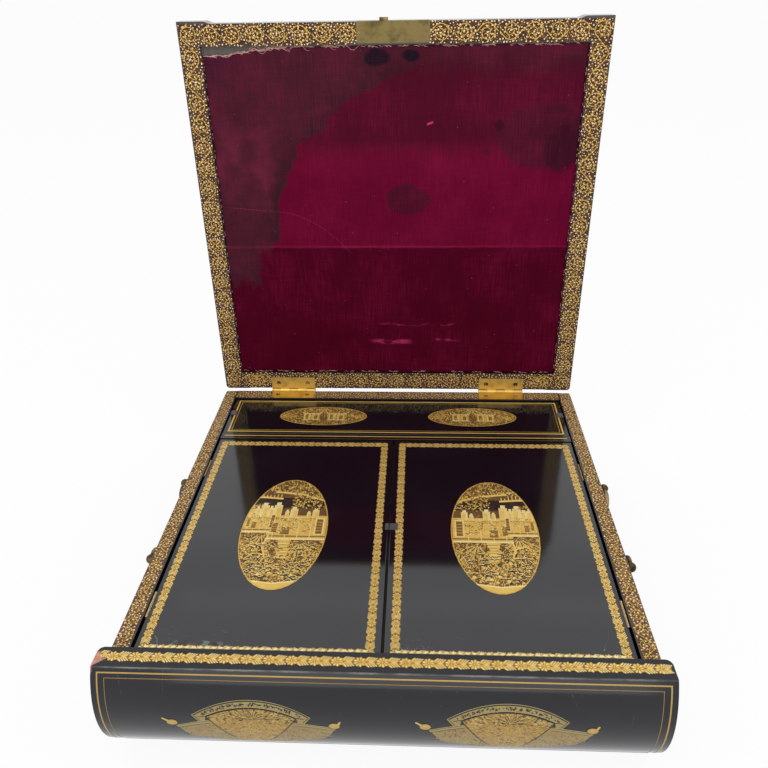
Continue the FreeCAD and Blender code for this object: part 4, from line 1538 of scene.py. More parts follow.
    def terrace(self, area: Box) -> None:
        """A bank with a pale edge and posts on it.

        Args:
            area: The box as (x0, y0, x1, y1).
        """
        x0, y0, x1, y1 = area
        middle = (x0 + x1) / 2
        line = [(x0, y0), (middle, y0 + (y1 - y0) * 0.75), (x1, y1)]
        self.sketch.stroke(line, self.half_y * 0.035, 0.84, 4)
        for k in range(9):
            x = x0 + (x1 - x0) * (k + 0.5) / 9
            y = y0 + (y1 - y0) * (k + 0.5) / 9
            self.sketch.box(x, y, x + self.half_x * 0.025, y + self.half_y * self.between(0.05, 0.11), 0.8, 4)

    def screen(self, x: float, y: float, half: float, height: float) -> None:
        """A pale stepped screen that stands on the pavilion.

        Args:
            x: Its middle.
            y: Its foot.
            half: Half its width.
            height: Its height.
        """
        s = self.sketch
        s.box(x - half, y, x + half, y + height, 0.9, 5)
        s.box(x - half * 0.5, y + height, x + half * 0.6, y + height * 1.2, 0.97, 5)
        s.box(x - half * 0.8, y + height * 0.1, x + half * 0.2, y + height * 0.8, 0.8, 6)
        s.box(x - half, y, x + half, y + height * 0.12, 0.6, 6)

    def pavilion(self, area: Box) -> None:
        """A bright pavilion with windows, a railing, small shrubs and a pale sill.

        Args:
            area: The box as (x0, y0, x1, y1).
        """
        x0, y0, x1, y1 = area
        s, high, wide = self.sketch, y1 - y0, x1 - x0
        s.box(x0, y0, x1, y1, 0.74, 4)
        s.box(x0, y0, x1, y0 + high * 0.06, 0.96, 6)
        s.box(x0, y0 + high * 0.12, x1, y0 + high * 0.17, 0.34, 5)
        s.frame((x0 + wide * 0.04, y0 + high * 0.22, x0 + wide * 0.2, y0 + high * 0.9), wide * 0.02, 0.92, 6)
        self.window((x0 + wide * 0.07, y0 + high * 0.26, x0 + wide * 0.17, y0 + high * 0.84))
        self.window((x0 + wide * 0.62, y0 + high * 0.22, x0 + wide * 0.76, y0 + high * 0.5))
        self.window((x0 + wide * 0.84, y0 + high * 0.3, x0 + wide * 0.92, y0 + high * 0.66))
        for k in range(int(wide * high / 34) + 4):
            x = self.between(x0 + wide * 0.22, x1 - wide * 0.06)
            y = self.between(y0 + high * 0.3, y1 - high * 0.1)
            self.shrub(x, y, high * 0.07)
        for k in range(70):
            x, y = self.between(x0, x1), self.between(y0 + high * 0.18, y1)
            run = self.between(0.02, 0.08) * wide
            rise = run * self.chance.choice((0.0, 0.5, -0.4, 1.2))
            s.stroke(((x, y), (x + run, y + rise)), 0.34, self.chance.choice((0.56, 0.92, 0.62, 0.4)), 5)
        s.stroke(((x0 + wide * 0.3, y1 - high * 0.08), (x1, y1 - high * 0.08)), high * 0.03, 0.9, 6)
        for k in range(4):
            x = x0 + wide * (0.26 + 0.21 * k)
            s.stroke(((x, y0 + high * 0.06), (x, y1)), wide * 0.014, 0.88, 6)

    def window(self, area: Box) -> None:
        """A dark lattice window.

        Args:
            area: The box as (x0, y0, x1, y1).
        """
        x0, y0, x1, y1 = area
        self.sketch.box(x0, y0, x1, y1, 0.3, 7)
        for k in range(1, 5):
            y = y0 + (y1 - y0) * k / 5
            self.sketch.box(x0, y - (y1 - y0) * 0.03, x1, y + (y1 - y0) * 0.03, 0.56, 8)

    def shrub(self, x: float, y: float, size: float) -> None:
        """A small cloud of pale and dark dabs.

        Args:
            x: Its middle.
            y: Its middle.
            size: Half its width.
        """
        for _ in range(6):
            self.sketch.oval(
                x + self.between(-size, size), y + self.between(-size, size) * 0.8,
                size * self.between(0.2, 0.42), size * self.between(0.16, 0.34),
                self.chance.choice((0.95, 0.86, 0.5, 0.3)), 7, 5,
            )

    def steps(self, x: float, y: float, half: float, height: float) -> None:
        """A flight of steps that narrows upwards.

        Args:
            x: Their middle.
            y: Their foot.
            half: Half their width.
            height: Their height.
        """
        for k in range(7):
            low = y + height * k / 7
            wide = half * (0.5 + 0.5 * abs(math.cos(k * 1.1)))
            self.sketch.box(x - wide, low, x + wide, low + height / 8.5, 0.72 + 0.05 * (k % 3), 4)
            self.sketch.box(x - wide * 0.6, low + height / 20, x + wide * 0.5, low + height / 14, 0.92, 5)

    def weeping(self, x: float, y: float, length: float, first: float, last: float, count: int) -> None:
        """Thin boughs that spread from one point and bend down, with small leaves along them.

        Args:
            x: The point.
            y: The point.
            length: The boughs' length.
            first: Direction of the first bough in radians.
            last: Direction of the last.
            count: Number of boughs.
        """
        for k in range(count):
            angle = first + (last - first) * (k + 0.5) / count
            reach = length * self.between(0.75, 1.1)
            line = [
                (x + reach * share * math.cos(angle), y + reach * share * (math.sin(angle) - 0.25 * share))
                for share in (0.08, 0.35, 0.65, 1.0)
            ]
            self.sketch.stroke(line, 0.6, (0.86, 0.08, 0.7)[k % 3], 3 + k % 2, 0.3)
            for share in (0.3, 0.45, 0.6, 0.75, 0.9):
                px = x + reach * share * math.cos(angle)
                py = y + reach * share * (math.sin(angle) - 0.25 * share)
                for turn in (0.7, -0.7):
                    tone = self.chance.choice((0.84, 0.72, 0.3))
                    self.sketch.leaf(px, py, angle + turn, length * 0.08, length * 0.03, tone, 5)

    def branch(self, shares: Sequence[Point]) -> None:
        """A crooked pale bough with a dark edge, its points as shares of the oval's halves.

        Args:
            shares: Its points.
        """
        points = [(self.half_x * u, self.half_y * v) for u, v in shares]
        shifted = [(x + self.half_x * 0.03, y - self.half_y * 0.012) for x, y in points]
        self.sketch.stroke(shifted, self.half_x * 0.06, 0.06, 4, self.half_x * 0.03)
        self.sketch.stroke(points, self.half_x * 0.05, 0.82, 5, self.half_x * 0.02)

    def squiggle(self, x: float, y: float, size: float) -> None:
        """A short crooked dark line with a pale one above it.

        Args:
            x: Its middle.
            y: Its middle.
            size: Its length.
        """
        line = []
        for k in range(5):
            line.append((x + size * (k / 4 - 0.5), y + size * self.between(-0.24, 0.24)))
        self.sketch.stroke(line, 0.95, 0.0, 6, 0.6)
        self.sketch.stroke([(px, py + 0.8) for px, py in line], 0.55, 0.92, 6, 0.3)

    def rocks(self, area: Box, count: int) -> None:
        """Rocks with dark edges and pale tops.

        Args:
            area: The box as (x0, y0, x1, y1).
            count: Number of rocks.
        """
        x0, y0, x1, y1 = area
        for k in range(count):
            x = x0 + (x1 - x0) * (k + 0.5) / count
            y = self.between(y0, y1)
            size = self.half_x * self.between(0.03, 0.055)
            self.sketch.oval(x, y, size * 1.16, size * 1.1, 0.04, 5, 7)
            self.sketch.oval(x, y, size, size * 0.94, (0.58, 0.7, 0.8)[k % 3], 6, 7)
            self.sketch.leaf(x - size * 0.6, y + size * 0.3, 0.1, size * 1.2, size * 0.5, 0.98, 7)


@dataclass(frozen=True)
class FanAndScroll:
    """A spread fan that lies over an unrolled handscroll, painted on the spine."""

    radius: float = 56.8
    band: float = 5.4
    half_angle: float = math.radians(37.0)
    dome: float = 53.0
    dome_half: float = math.radians(29.6)
    seed: int = 5

    def arc(self, radius: float, first: float, last: float, count: int = 25) -> list[Point]:
        """Points on an arc round the fan's rivet, the angle counted from straight up.

        Args:
            radius: The arc's radius.
            first: Its first angle.
            last: Its last angle.
            count: Number of points.

        Returns:
            The points.
        """
        return [
            (radius * math.sin(turn), radius * math.cos(turn))
            for turn in (first + (last - first) * k / (count - 1) for k in range(count))
        ]

    def domed(self, share: float, inset: float = 0.0) -> Point:
        """A point on the arc over the fan's picture, -1 at its left end and 1 at its right."""
        turn, low = share * self.dome_half, self.radius - self.band - self.dome
        return (self.dome - inset) * math.sin(turn), low + (self.dome - inset) * math.cos(turn)

    def pale_parts(self) -> Sketch:
        """The fan's pale band and its fine lines, round the rivet.

        Returns:
            The drawing.
        """
        drawing = Sketch()
        half, outer = self.half_angle, self.radius
        rows = self.arc(outer, -half, half), [self.domed(k / 12 - 1, -0.2) for k in range(25)]
        for a, b, c, d in zip(rows[0], rows[0][1:], rows[1][1:], rows[1]):
            drawing.add((a, b, c, d), 0.5, 2)
        drawing.stroke(self.arc(outer - 0.1, -half, half), 0.4, 0.8, 4)
        drawing.stroke(self.arc(outer - 0.75, -half * 0.99, half * 0.99), 1.0, 0.0, 3)
        drawing.stroke(self.arc(outer - 1.4, -half * 0.98, half * 0.98), 0.36, 0.76, 4)
        drawing.stroke([self.domed(k / 12 - 1, -0.7) for k in range(25)], 0.36, 0.76, 4)
        chance = random.Random(self.seed)
        for k in range(150):
            share = k / 74.5 - 1
            high, low = self.arc(outer - 2.0, half * share * 0.95, 0.0, 2)[0], self.domed(share * 0.96, -1.4)
            spot = chance.uniform(0.2, 0.85)
            x, y = low[0] + (high[0] - low[0]) * spot, low[1] + (high[1] - low[1]) * spot
            drawing.comma(x, y, chance.uniform(0, 6.3), 1.5, 0.9, 0.4, chance.choice((0.0, 0.0, 0.7)), 4)
        for side in (-1, 1):
            corner = (side * outer * math.sin(half), outer * math.cos(half))
            foot, inside = (corner[0] - side * 4.0, corner[1] - 5.6), self.domed(side)
            notch = (inside[0] + side * 0.6, inside[1] - 3.4)
            drawing.add((corner, inside, notch, foot), 0.46, 2)
            for line in (
                (corner, foot, notch),
                ((corner[0] - side * 3.0, corner[1] - 1.2), (foot[0] - side * 3.4, foot[1] + 1.2)),
            ):
                drawing.stroke(line, 0.4, 0.76, 4)
            drawing.stroke(
                ((corner[0] - side * 1.4, corner[1] - 0.8), (foot[0] - side * 0.4, foot[1] + 1.0)), 0.4, 0.0,
                3,
            )
            drawing.stroke((inside, (inside[0] + side * 4.6, inside[1] - 0.6)), 0.4, 0.0, 4)
        self._scroll(drawing, chance)
        return drawing

    def gold_parts(self) -> Sketch:
        """The fan's painted leaf and the knobs of the handscroll, round the rivet.

        Returns:
            The drawing.
        """
        drawing = Sketch()
        chance = random.Random(self.seed + 1)
        tops = [self.domed(k / 15 - 1, 0.3) for k in range(31)]
        feet = [(10.6 * (k / 15 - 1), 15.0 + 6.0 * (k / 15 - 1) ** 2) for k in range(31)]
        for k in range(30):
            drawing.add((tops[k], tops[k + 1], feet[k + 1], feet[k]), 0.5, 3)
        low = self.radius - self.band - self.dome
        for k in range(2400):
            x, y = chance.uniform(-25.6, 25.6), chance.uniform(17.0, self.radius - self.band)
            side = 10.6 + 15.5 * (y - 21.0) / 24.0
            if math.hypot(x, y - low) > self.dome - 1.2 or abs(x) > min(side - 0.8, 25.0):
                continue
            upper = y > 40.5 + 1.5 * math.sin(x * 0.5)
            tone = chance.choice((0.0, 0.34, 0.7, 0.9)) if upper else chance.choice((0.3, 0.56, 0.66, 0.76))
            heading = math.pi / 2 - math.atan2(x - 1.5, y - 41.0) + chance.uniform(-0.5, 0.5)
            drawing.leaf(x, y, heading, chance.uniform(1.2, 2.4), chance.uniform(0.35, 0.7), tone, 4 + k % 2)
        for k in range(17):
            turn = 1.5 * (k / 8 - 1)
            reach = chance.uniform(5.0, 7.5) * (1.0 + 0.7 * abs(math.sin(turn)))
            tip = (1.5 + reach * math.sin(turn), 42.6 + reach * math.cos(turn) * 0.85)
            middle = (1.5 + (tip[0] - 1.5) * 0.5, 42.6 + (tip[1] - 42.6) * 0.7 + 0.5)
            drawing.stroke(((1.5, 42.6), middle, tip), 0.5, (0.0, 0.74)[k % 2], 6, 0.24)
        for end in (0, -1):
            drawing.stroke((tops[end], feet[end]), 0.7, 0.0, 6)
        drawing.stroke([self.domed(k / 15 - 1, 0.5) for k in range(31)], 0.7, 0.0, 6)
        for side, x, y, tip_x, tip_y in ((-1, -46.4, 38.4, -52.0, 42.2), (1, 47.7, 38.6, 51.2, 42.6)):
            drawing.oval(x, y, 3.7, 2.9, 0.04, 3, 10)
            drawing.oval(x, y + 0.1, 3.2, 2.4, 0.7, 4, 10)
            drawing.leaf(x - 2.0, y + 0.5, 0.1, 3.8, 0.9, 0.9, 5)
            drawing.stroke(((x + side * 2.2, y + 1.4), (tip_x, tip_y)), 1.5, 0.86, 5, 1.1)
        return drawing

    @staticmethod
    def _scroll(drawing: Sketch, chance: random.Random) -> None:
        """The handscroll behind the fan, with pale bands along its upper edges.

        Args:
            drawing: What it is added to.
            chance: The random numbers.
        """
        sheet = (
            (-43.8, 36.0), (-24.2, 41.2), (25.0, 40.8), (48.2, 36.8), (44.0, 28.5), (39.0, 23.0),
            (14.0, 15.5), (-14.0, 15.0), (-36.4, 23.5),
        )
        drawing.add(sheet, 0.42, 0)
        for _ in range(900):
            x, y = chance.uniform(-42, 46), chance.uniform(17, 38)
            bow = 0.0068 * x * x
            if y > 39.0 - bow * 0.45 or y < 15.5 + bow * 0.75:
                continue
            tone = chance.choice((0.06, 0.3, 0.56, 0.8))
            drawing.comma(x, y, chance.uniform(0, 6.3), 1.2, 0.55, 0.4, tone, 1)
        for points in (
            ((-43.8, 34.6), (-34.0, 37.6), (-24.2, 39.8)), ((48.2, 35.4), (36.0, 37.6), (25.0, 39.4)),
        ):
            drawing.stroke(points, 3.0, 0.54, 1)
            for rise, wide, tone in ((1.4, 0.4, 0.8), (0.7, 0.34, 0.0), (-1.3, 0.4, 0.02)):
                drawing.stroke([(px, py + rise) for px, py in points], wide, tone, 2)
        drawing.stroke(((-43.8, 36.0), (-36.4, 23.5), (-14.0, 15.0)), 0.5, 0.62, 2)
        drawing.stroke(((48.2, 36.8), (44.0, 28.5), (39.0, 23.0), (14.0, 15.5)), 0.5, 0.62, 2)


# Sub-assemblies


class Palette:
    """Every finish, made once."""

    def __init__(self) -> None:
        """Make the materials."""
        self.gold = GoldPainting().make("gold painting")
        self.rim_gold = GoldPainting(specular=0.1).make("gold painting of the rims")
        self.old_gold = GoldPainting(wear=0.4, cast=linear(152, 128, 74), share=0.6).make("old gold painting")
        self.green_gold = GoldPainting(
            wear=0.3, cast=linear(146, 140, 98), share=0.85,
        ).make("green gold painting")
        # The same brown ground as the lid's, painted paler on the case: a painted reflection of light
        # glancing off the rims.
        self.case_ground = Plain(
            linear(88, 63, 48), linear(120, 90, 68), 0.6, 0.0, 9.0, 0.12,
        ).make("case scroll ground with painted reflection")
        self.lid_ground = Plain(
            linear(62, 43, 38), linear(88, 62, 50), 0.6, 0.0, 9.0, 0.12,
        ).make("lid scroll ground")
        self.dot_gold = GoldPainting(
            wear=0.25, cast=linear(238, 210, 174), share=0.85, specular=0.1,
        ).make("pale gold dots")
        self.black = Lacquer().make("black lacquer")
        self.case_rim = Lacquer(Ground.CASE_RIM).make("lacquer with brown rim")
        self.lid_rim = Lacquer(Ground.LID_RIM).make("lacquer with brown lid rim")
        self.spine = Lacquer(Ground.SPINE, ior=1.47).make("worn lacquer of the spine")
        self.left_flap = Lacquer(Ground.LEFT_FLAP, ior=1.68).make("lacquer of the left flap")
        self.right_flap = Lacquer(Ground.RIGHT_FLAP, ior=1.68).make("lacquer of the right flap")
        self.chip = ChippedLacquer().make("chipped lacquer")
        self.inner_wood = Plain().make("inner wood")
        self.spring = Plain(linear(120, 122, 126), linear(150, 150, 152), 0.32, 1.0, 2.0).make("spring steel")
        self.brass = Brass().make("old brass")
        self.olive_brass = Brass(linear(222, 190, 108), linear(186, 154, 80), 0.35, 0.4).make("olive brass")
        self.plate_brass = Brass(linear(126, 110, 70), linear(98, 86, 54), 0.4, 0.42).make("dull brass plate")
        self.bright_brass = Brass(linear(198, 166, 96), linear(172, 136, 66), 0.3, 0.34).make("bright brass")
        self.pale_brass = Brass(linear(226, 202, 150), linear(176, 148, 92), 0.4, 0.3).make("pale brass")
        self.dark_brass = Brass(linear(176, 150, 104), linear(70, 58, 46), 0.75, 0.34).make("darkened brass")
        self.post_brass = Brass(
            linear(140, 116, 78), linear(56, 47, 38), 0.85, 0.42,
        ).make("brown brass posts")
        self.velvet = Velvet().make("worn velvet")
        self.thread = Plain(linear(204, 164, 146), linear(160, 104, 106), 0.85, 0.0, 3.0).make("loose thread")
        self.grey_ribbon = Ribbon().make("grey ribbon")
        self.plum_ribbon = Ribbon(linear(92, 80, 90), linear(58, 50, 60)).make("plum ribbon")


class Workshop:
    """What all sub-assemblies share: finishes, node trees, ornaments, and a way to hand a piece over."""

    def __init__(self) -> None:
        """Make the finishes, trees and ornaments."""
        self.palette = Palette()
        self.borders = border_tree()
        self.scatter = scatter_tree()
        gold = self.palette.gold
        self.leaf_border = OrnamentSet("leaf_border", (rosette(6.2, 6.0), winged_leaf(6.0, 6.0)), gold)
        self.spine_border = OrnamentSet("spine_border", (rosette(7.2, 6.8), winged_leaf(6.6, 7.0)), gold)
        vines = [vine(12.0, 4.4, side, seed) for seed, side in enumerate((1, -1, 1, -1))]
        self.scroll = OrnamentSet("scroll", vines, gold)
        self.dots = OrnamentSet("dots", dabs(1.2, PALE_DOTS, 3), gold)
        self.strokes = OrnamentSet("strokes", dabs(1.15, DIM_STROKES, 1), gold)

    def dress(self, material: Material, *names: str) -> None:
        """Give CAD nodes a finish.

        Args:
            material: The finish.
            *names: The nodes' names.
        """
        for name in names:
            for slot in frame["nodes"][name].material_slots:
                slot.material = material

    def hand_over(self, piece: Piece, body: str, slot: str = "lacquer") -> Piece:
        """Tie a piece to its body and report it.

        Args:
            piece: The piece.
            body: The body that it rides on.
            slot: Not used.

        Returns:
            The piece.
        """
        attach(piece, body)
        LOG.info("%s rides on %s: %d faces", piece.name, body, len(piece.data.polygons))
        return piece

    def paint(
        self, name: str, drawing: Sketch, place: Place, body: str, material: Optional[Material] = None,
    ) -> None:
        """Paint a drawing on a body.

        Args:
            name: The piece's name.
            drawing: The drawing.
            place: Where its points lie.
            body: The body that it rides on.
            material: Its finish, if not the usual gold.
        """
        self.hand_over(drawing.mesh(name, place, material or self.palette.gold), body)

    def run_border(
        self, name: str, path: Mesh, ornaments: OrnamentSet, place: Place, body: str,
        size: float = 1.0, finish: Optional[Material] = None,
    ) -> None:
        """Run ornaments along a path on a body.

        Args:
            name: The piece's name.
            path: The path, with its kinds.
            ornaments: What runs along it.
            place: Where the path's plane lies.
            body: The body that it rides on.
            size: Scale of the ornaments.
            finish: Their finish, if not the usual gold.
        """
        material = finish or self.palette.gold
        inputs = {"Ornaments": ornaments.collection, "Size": size, "Material": material}
        self.hand_over(self.borders.grow(name, path, inputs, place), body)

    def fill_ground(self, name: str, boxes: Sequence[Box], place: Place, body: str, seed: int) -> None:
        """Paint flat boxes brown and scatter pale dots and dim strokes over them.

        Args:
            name: First word of the pieces' names.
            boxes: The boxes as (x0, y0, x1, y1).
            place: Where their plane lies.
            body: The body that they ride on.
            seed: Seed of the scatter.
        """
        ground = Sketch()
        for x0, y0, x1, y1 in boxes:
            ground.box(x0, y0, x1, y1, 0.0, -1)
        self.paint(name + "_ground", ground, place, body, getattr(self.palette, body + "_ground"))
        for word, ornaments, spacing, finish in (
            ("dots", self.dots, DOT_SPACING, self.palette.dot_gold),
            ("strokes", self.strokes, STROKE_SPACING, self.palette.rim_gold),
        ):
            inputs = {
                "Ornaments": ornaments.collection, "Spacing": spacing * MM, "Seed": seed, "Material": finish,
            }
            piece = "%s_%s" % (name, word)
            start = field_mesh(piece + ".field", boxes)
            self.hand_over(self.scatter.grow(piece, start, inputs, place), body)

    def clear(self) -> None:
        """Remove the ornaments that the trees picked from."""
        for ornaments in (self.leaf_border, self.spine_border, self.scroll, self.dots, self.strokes):
            ornaments.clear()


def frame_runs(x0: float, y0: float, x1: float, y1: float) -> list[list[Point]]:
    """The four sides of a rectangle as one closed run."""
    return [[(x0, y0), (x1, y0), (x1, y1), (x0, y1), (x0, y0)]]


@dataclass
class Case:
    """The case: rims with scroll, spine, divider and side handles' posts."""

    shop: Workshop
    half_width: float = 165.0
    inner_half: float = 153.5
    front: float = -158.5
    back: float = 160.0
    back_inner: float = 147.1
    rim: float = 70.0
    divider_top: float = 68.2
    hinge_x: float = 99.5
    hinge_half: float = 21.4
    margin: float = 0.7
    flap_margin: float = 1.25
    pitch: float = 12.0
    scroll_size: float = 0.98
    spine_middle: float = -169.2
    spine_radius: float = 57.145
    spine_centre: float = -129.155
    spine_widest: float = 52.0
    spine_top: float = 84.0
    cartouches: tuple[Point, Point] = ((-73.8, 74.4), (72.3, 72.6))
    names: tuple[Names, ...] = (
        ("case_rim", "left_side_board right_side_board back_board"), ("spine", "front_spine"),
        ("black", "bottom_board divider_wall"),
        ("inner_wood", "centre_partition front_flap_ledge back_flap_ledge left_well_partition"),
        ("inner_wood", "right_well_partition left_tray_end_ledge right_tray_end_ledge"),
        ("bright_brass", "left_hinge_base_leaf right_hinge_base_leaf"),
        ("brass", "left_hinge_pin right_hinge_pin"), ("dark_brass", "hinge_screws_base"),
        ("post_brass", "left_front_handle_post left_rear_handle_post"),
        ("post_brass", "right_front_handle_post right_rear_handle_post"),
    )

    def build(self) -> None:
        """Dress the case and paint it."""
        for finish, names in self.names:
            self.shop.dress(getattr(self.shop.palette, finish), *names.split())
        for side in ("left", "right"):
            for end in ("front", "rear"):
                name = "%s_%s_flap_hinge_" % (side, end)
                self.shop.dress(self.shop.palette.pale_brass, name + "fixed_leaf", name + "pin")
        self._rims()
        self._divider()
        self._spine_top()
        self._spine_front()
        self._outside()

    def rim_boxes(self) -> list[Box]:
        """The rims' flat tops without the hinges, as boxes.

        Returns:
            Boxes as (x0, y0, x1, y1).
        """
        m, h = self.margin, self.half_width
        low, high = self.hinge_x - self.hinge_half, self.hinge_x + self.hinge_half
        boxes = []
        for side in (-1, 1):
            near, far = side * (self.inner_half + self.flap_margin), side * (h - m)
            boxes.append((min(near, far), self.front + m, max(near, far), self.back - m))
        for x0, x1 in ((-self.inner_half, -high), (-low, low), (high, self.inner_half)):
            boxes.append((x0, self.back_inner + m * 0.5, x1, self.back - m))
        return boxes

    def _rims(self) -> None:
        """The scroll on the rims."""
        side_x = (self.half_width + self.inner_half) / 2
        back_y = (self.back + self.back_inner) / 2
        runs = [[(side * side_x, self.front + 6.0), (side * side_x, self.back - 6.4)] for side in (-1, 1)]
        gap = self.hinge_x - self.hinge_half
        far = self.hinge_x + self.hinge_half
        runs.append([(-gap + 6.0, back_y), (gap - 6.0, back_y)])
        runs.append([(-side_x + 12.0, back_y), (-far - 6.0, back_y)])
        runs.append([(far + 6.0, back_y), (side_x - 12.0, back_y)])
        path = border_path("case_scroll.path", runs, self.pitch, 2)
        self.shop.run_border(
            "case_scroll", path, self.shop.scroll, on_top(self.rim), "case", self.scroll_size,
            self.shop.palette.rim_gold,
        )
        self.shop.fill_ground("case_scroll", self.rim_boxes(), on_top(self.rim), "case", 3)

    def _divider(self) -> None:
        """The two lines on the divider rail."""
        drawing = Sketch()
        drawing.box(-150.0, 84.3, 150.0, 85.4, 0.7)
        drawing.box(-152.5, 80.8, 152.5, 81.2, 0.36)
        self.shop.paint("divider_lines", drawing, on_top(self.divider_top), "case")

    def _spine_top(self) -> None:
        """The leaf border on the spine's flat top, turned back at both ends."""
        middle = self.spine_middle
        path = border_path("spine_border.path", [[(-154.6, middle), (157.6, middle)]], 6.4)
        self.shop.run_border(
            "spine_leaf_border", path, self.shop.spine_border, on_top(self.spine_top), "case",
        )
        drawing = Sketch()
        drawing.merge(winged_leaf(5.4, 6.4), 160.6, middle)
        drawing.merge(winged_leaf(4.6, 5.0), -159.8, middle + 1.6)
        self.shop.paint("spine_border_ends", drawing, on_top(self.spine_top), "case")

    def on_spine(self, x: float, y: float, lift: float) -> Vector:
        """A point on the round front, its y counted down from the arris as a negative length.

        Args:
            x: Across the front.
            y: Along the curve, from the arris.
            lift: Height above the face.

        Returns:
            The point in metres.
        """
        start = math.asin((self.spine_top - self.spine_widest) / self.spine_radius)
        angle = start + y / self.spine_radius
        reach = self.spine_radius + lift
        height = self.spine_widest + reach * math.sin(angle)
        return Vector((x, self.spine_centre - reach * math.cos(angle), height)) * MM

    def _spine_front(self) -> None:
        """The lines round the front and the two fans over their scrolls."""
        lines = Sketch()
        lines.frame((-161.6, -85.0, 161.6, -2.9), 0.85, 0.6)
        lines.frame((-157.2, -80.6, 157.2, -6.2), 0.36, 0.42)
        self.shop.paint("spine_lines", lines.sliced(STRIP), self.on_spine, "case", self.shop.palette.old_gold)
        gold, pale = Sketch(), Sketch()
        for index, (x, rivet) in enumerate(self.cartouches):
            motif = FanAndScroll(seed=5 + 7 * index)
            gold.merge(motif.gold_parts(), x, -rivet)
            pale.merge(motif.pale_parts(), x, -rivet)
        self.shop.paint("spine_fans", gold.sliced(STRIP), self.on_spine, "case", self.shop.palette.old_gold)
        self.shop.paint(
            "spine_fan_bands", pale.sliced(STRIP), self.on_spine, "case", self.shop.palette.green_gold,
        )

    def _outside(self) -> None:
        """Plain double lines on the sides and the back, which are guesses."""
        for side, word in ((-1, "left"), (1, "right")):
            drawing = Sketch()
            ends = sorted((side * (self.front + 2.0), side * (self.back - 5.0)))
            drawing.frame((ends[0], 4.0, ends[1], 67.6), 1.1, 0.74)
            drawing.frame((ends[0] + 3.2, 7.2, ends[1] - 3.2, 65.0), 0.4, 0.56)
            self.shop.paint(word + "_side_lines", drawing, on_side(side, self.half_width), "case")
        drawing = Sketch()
        drawing.frame((-160.0, 4.0, 160.0, 65.2), 1.1, 0.74)
        drawing.frame((-156.8, 7.2, 156.8, 62.0), 0.4, 0.56)
        self.shop.paint("back_lines", drawing, on_back(self.back), "case")


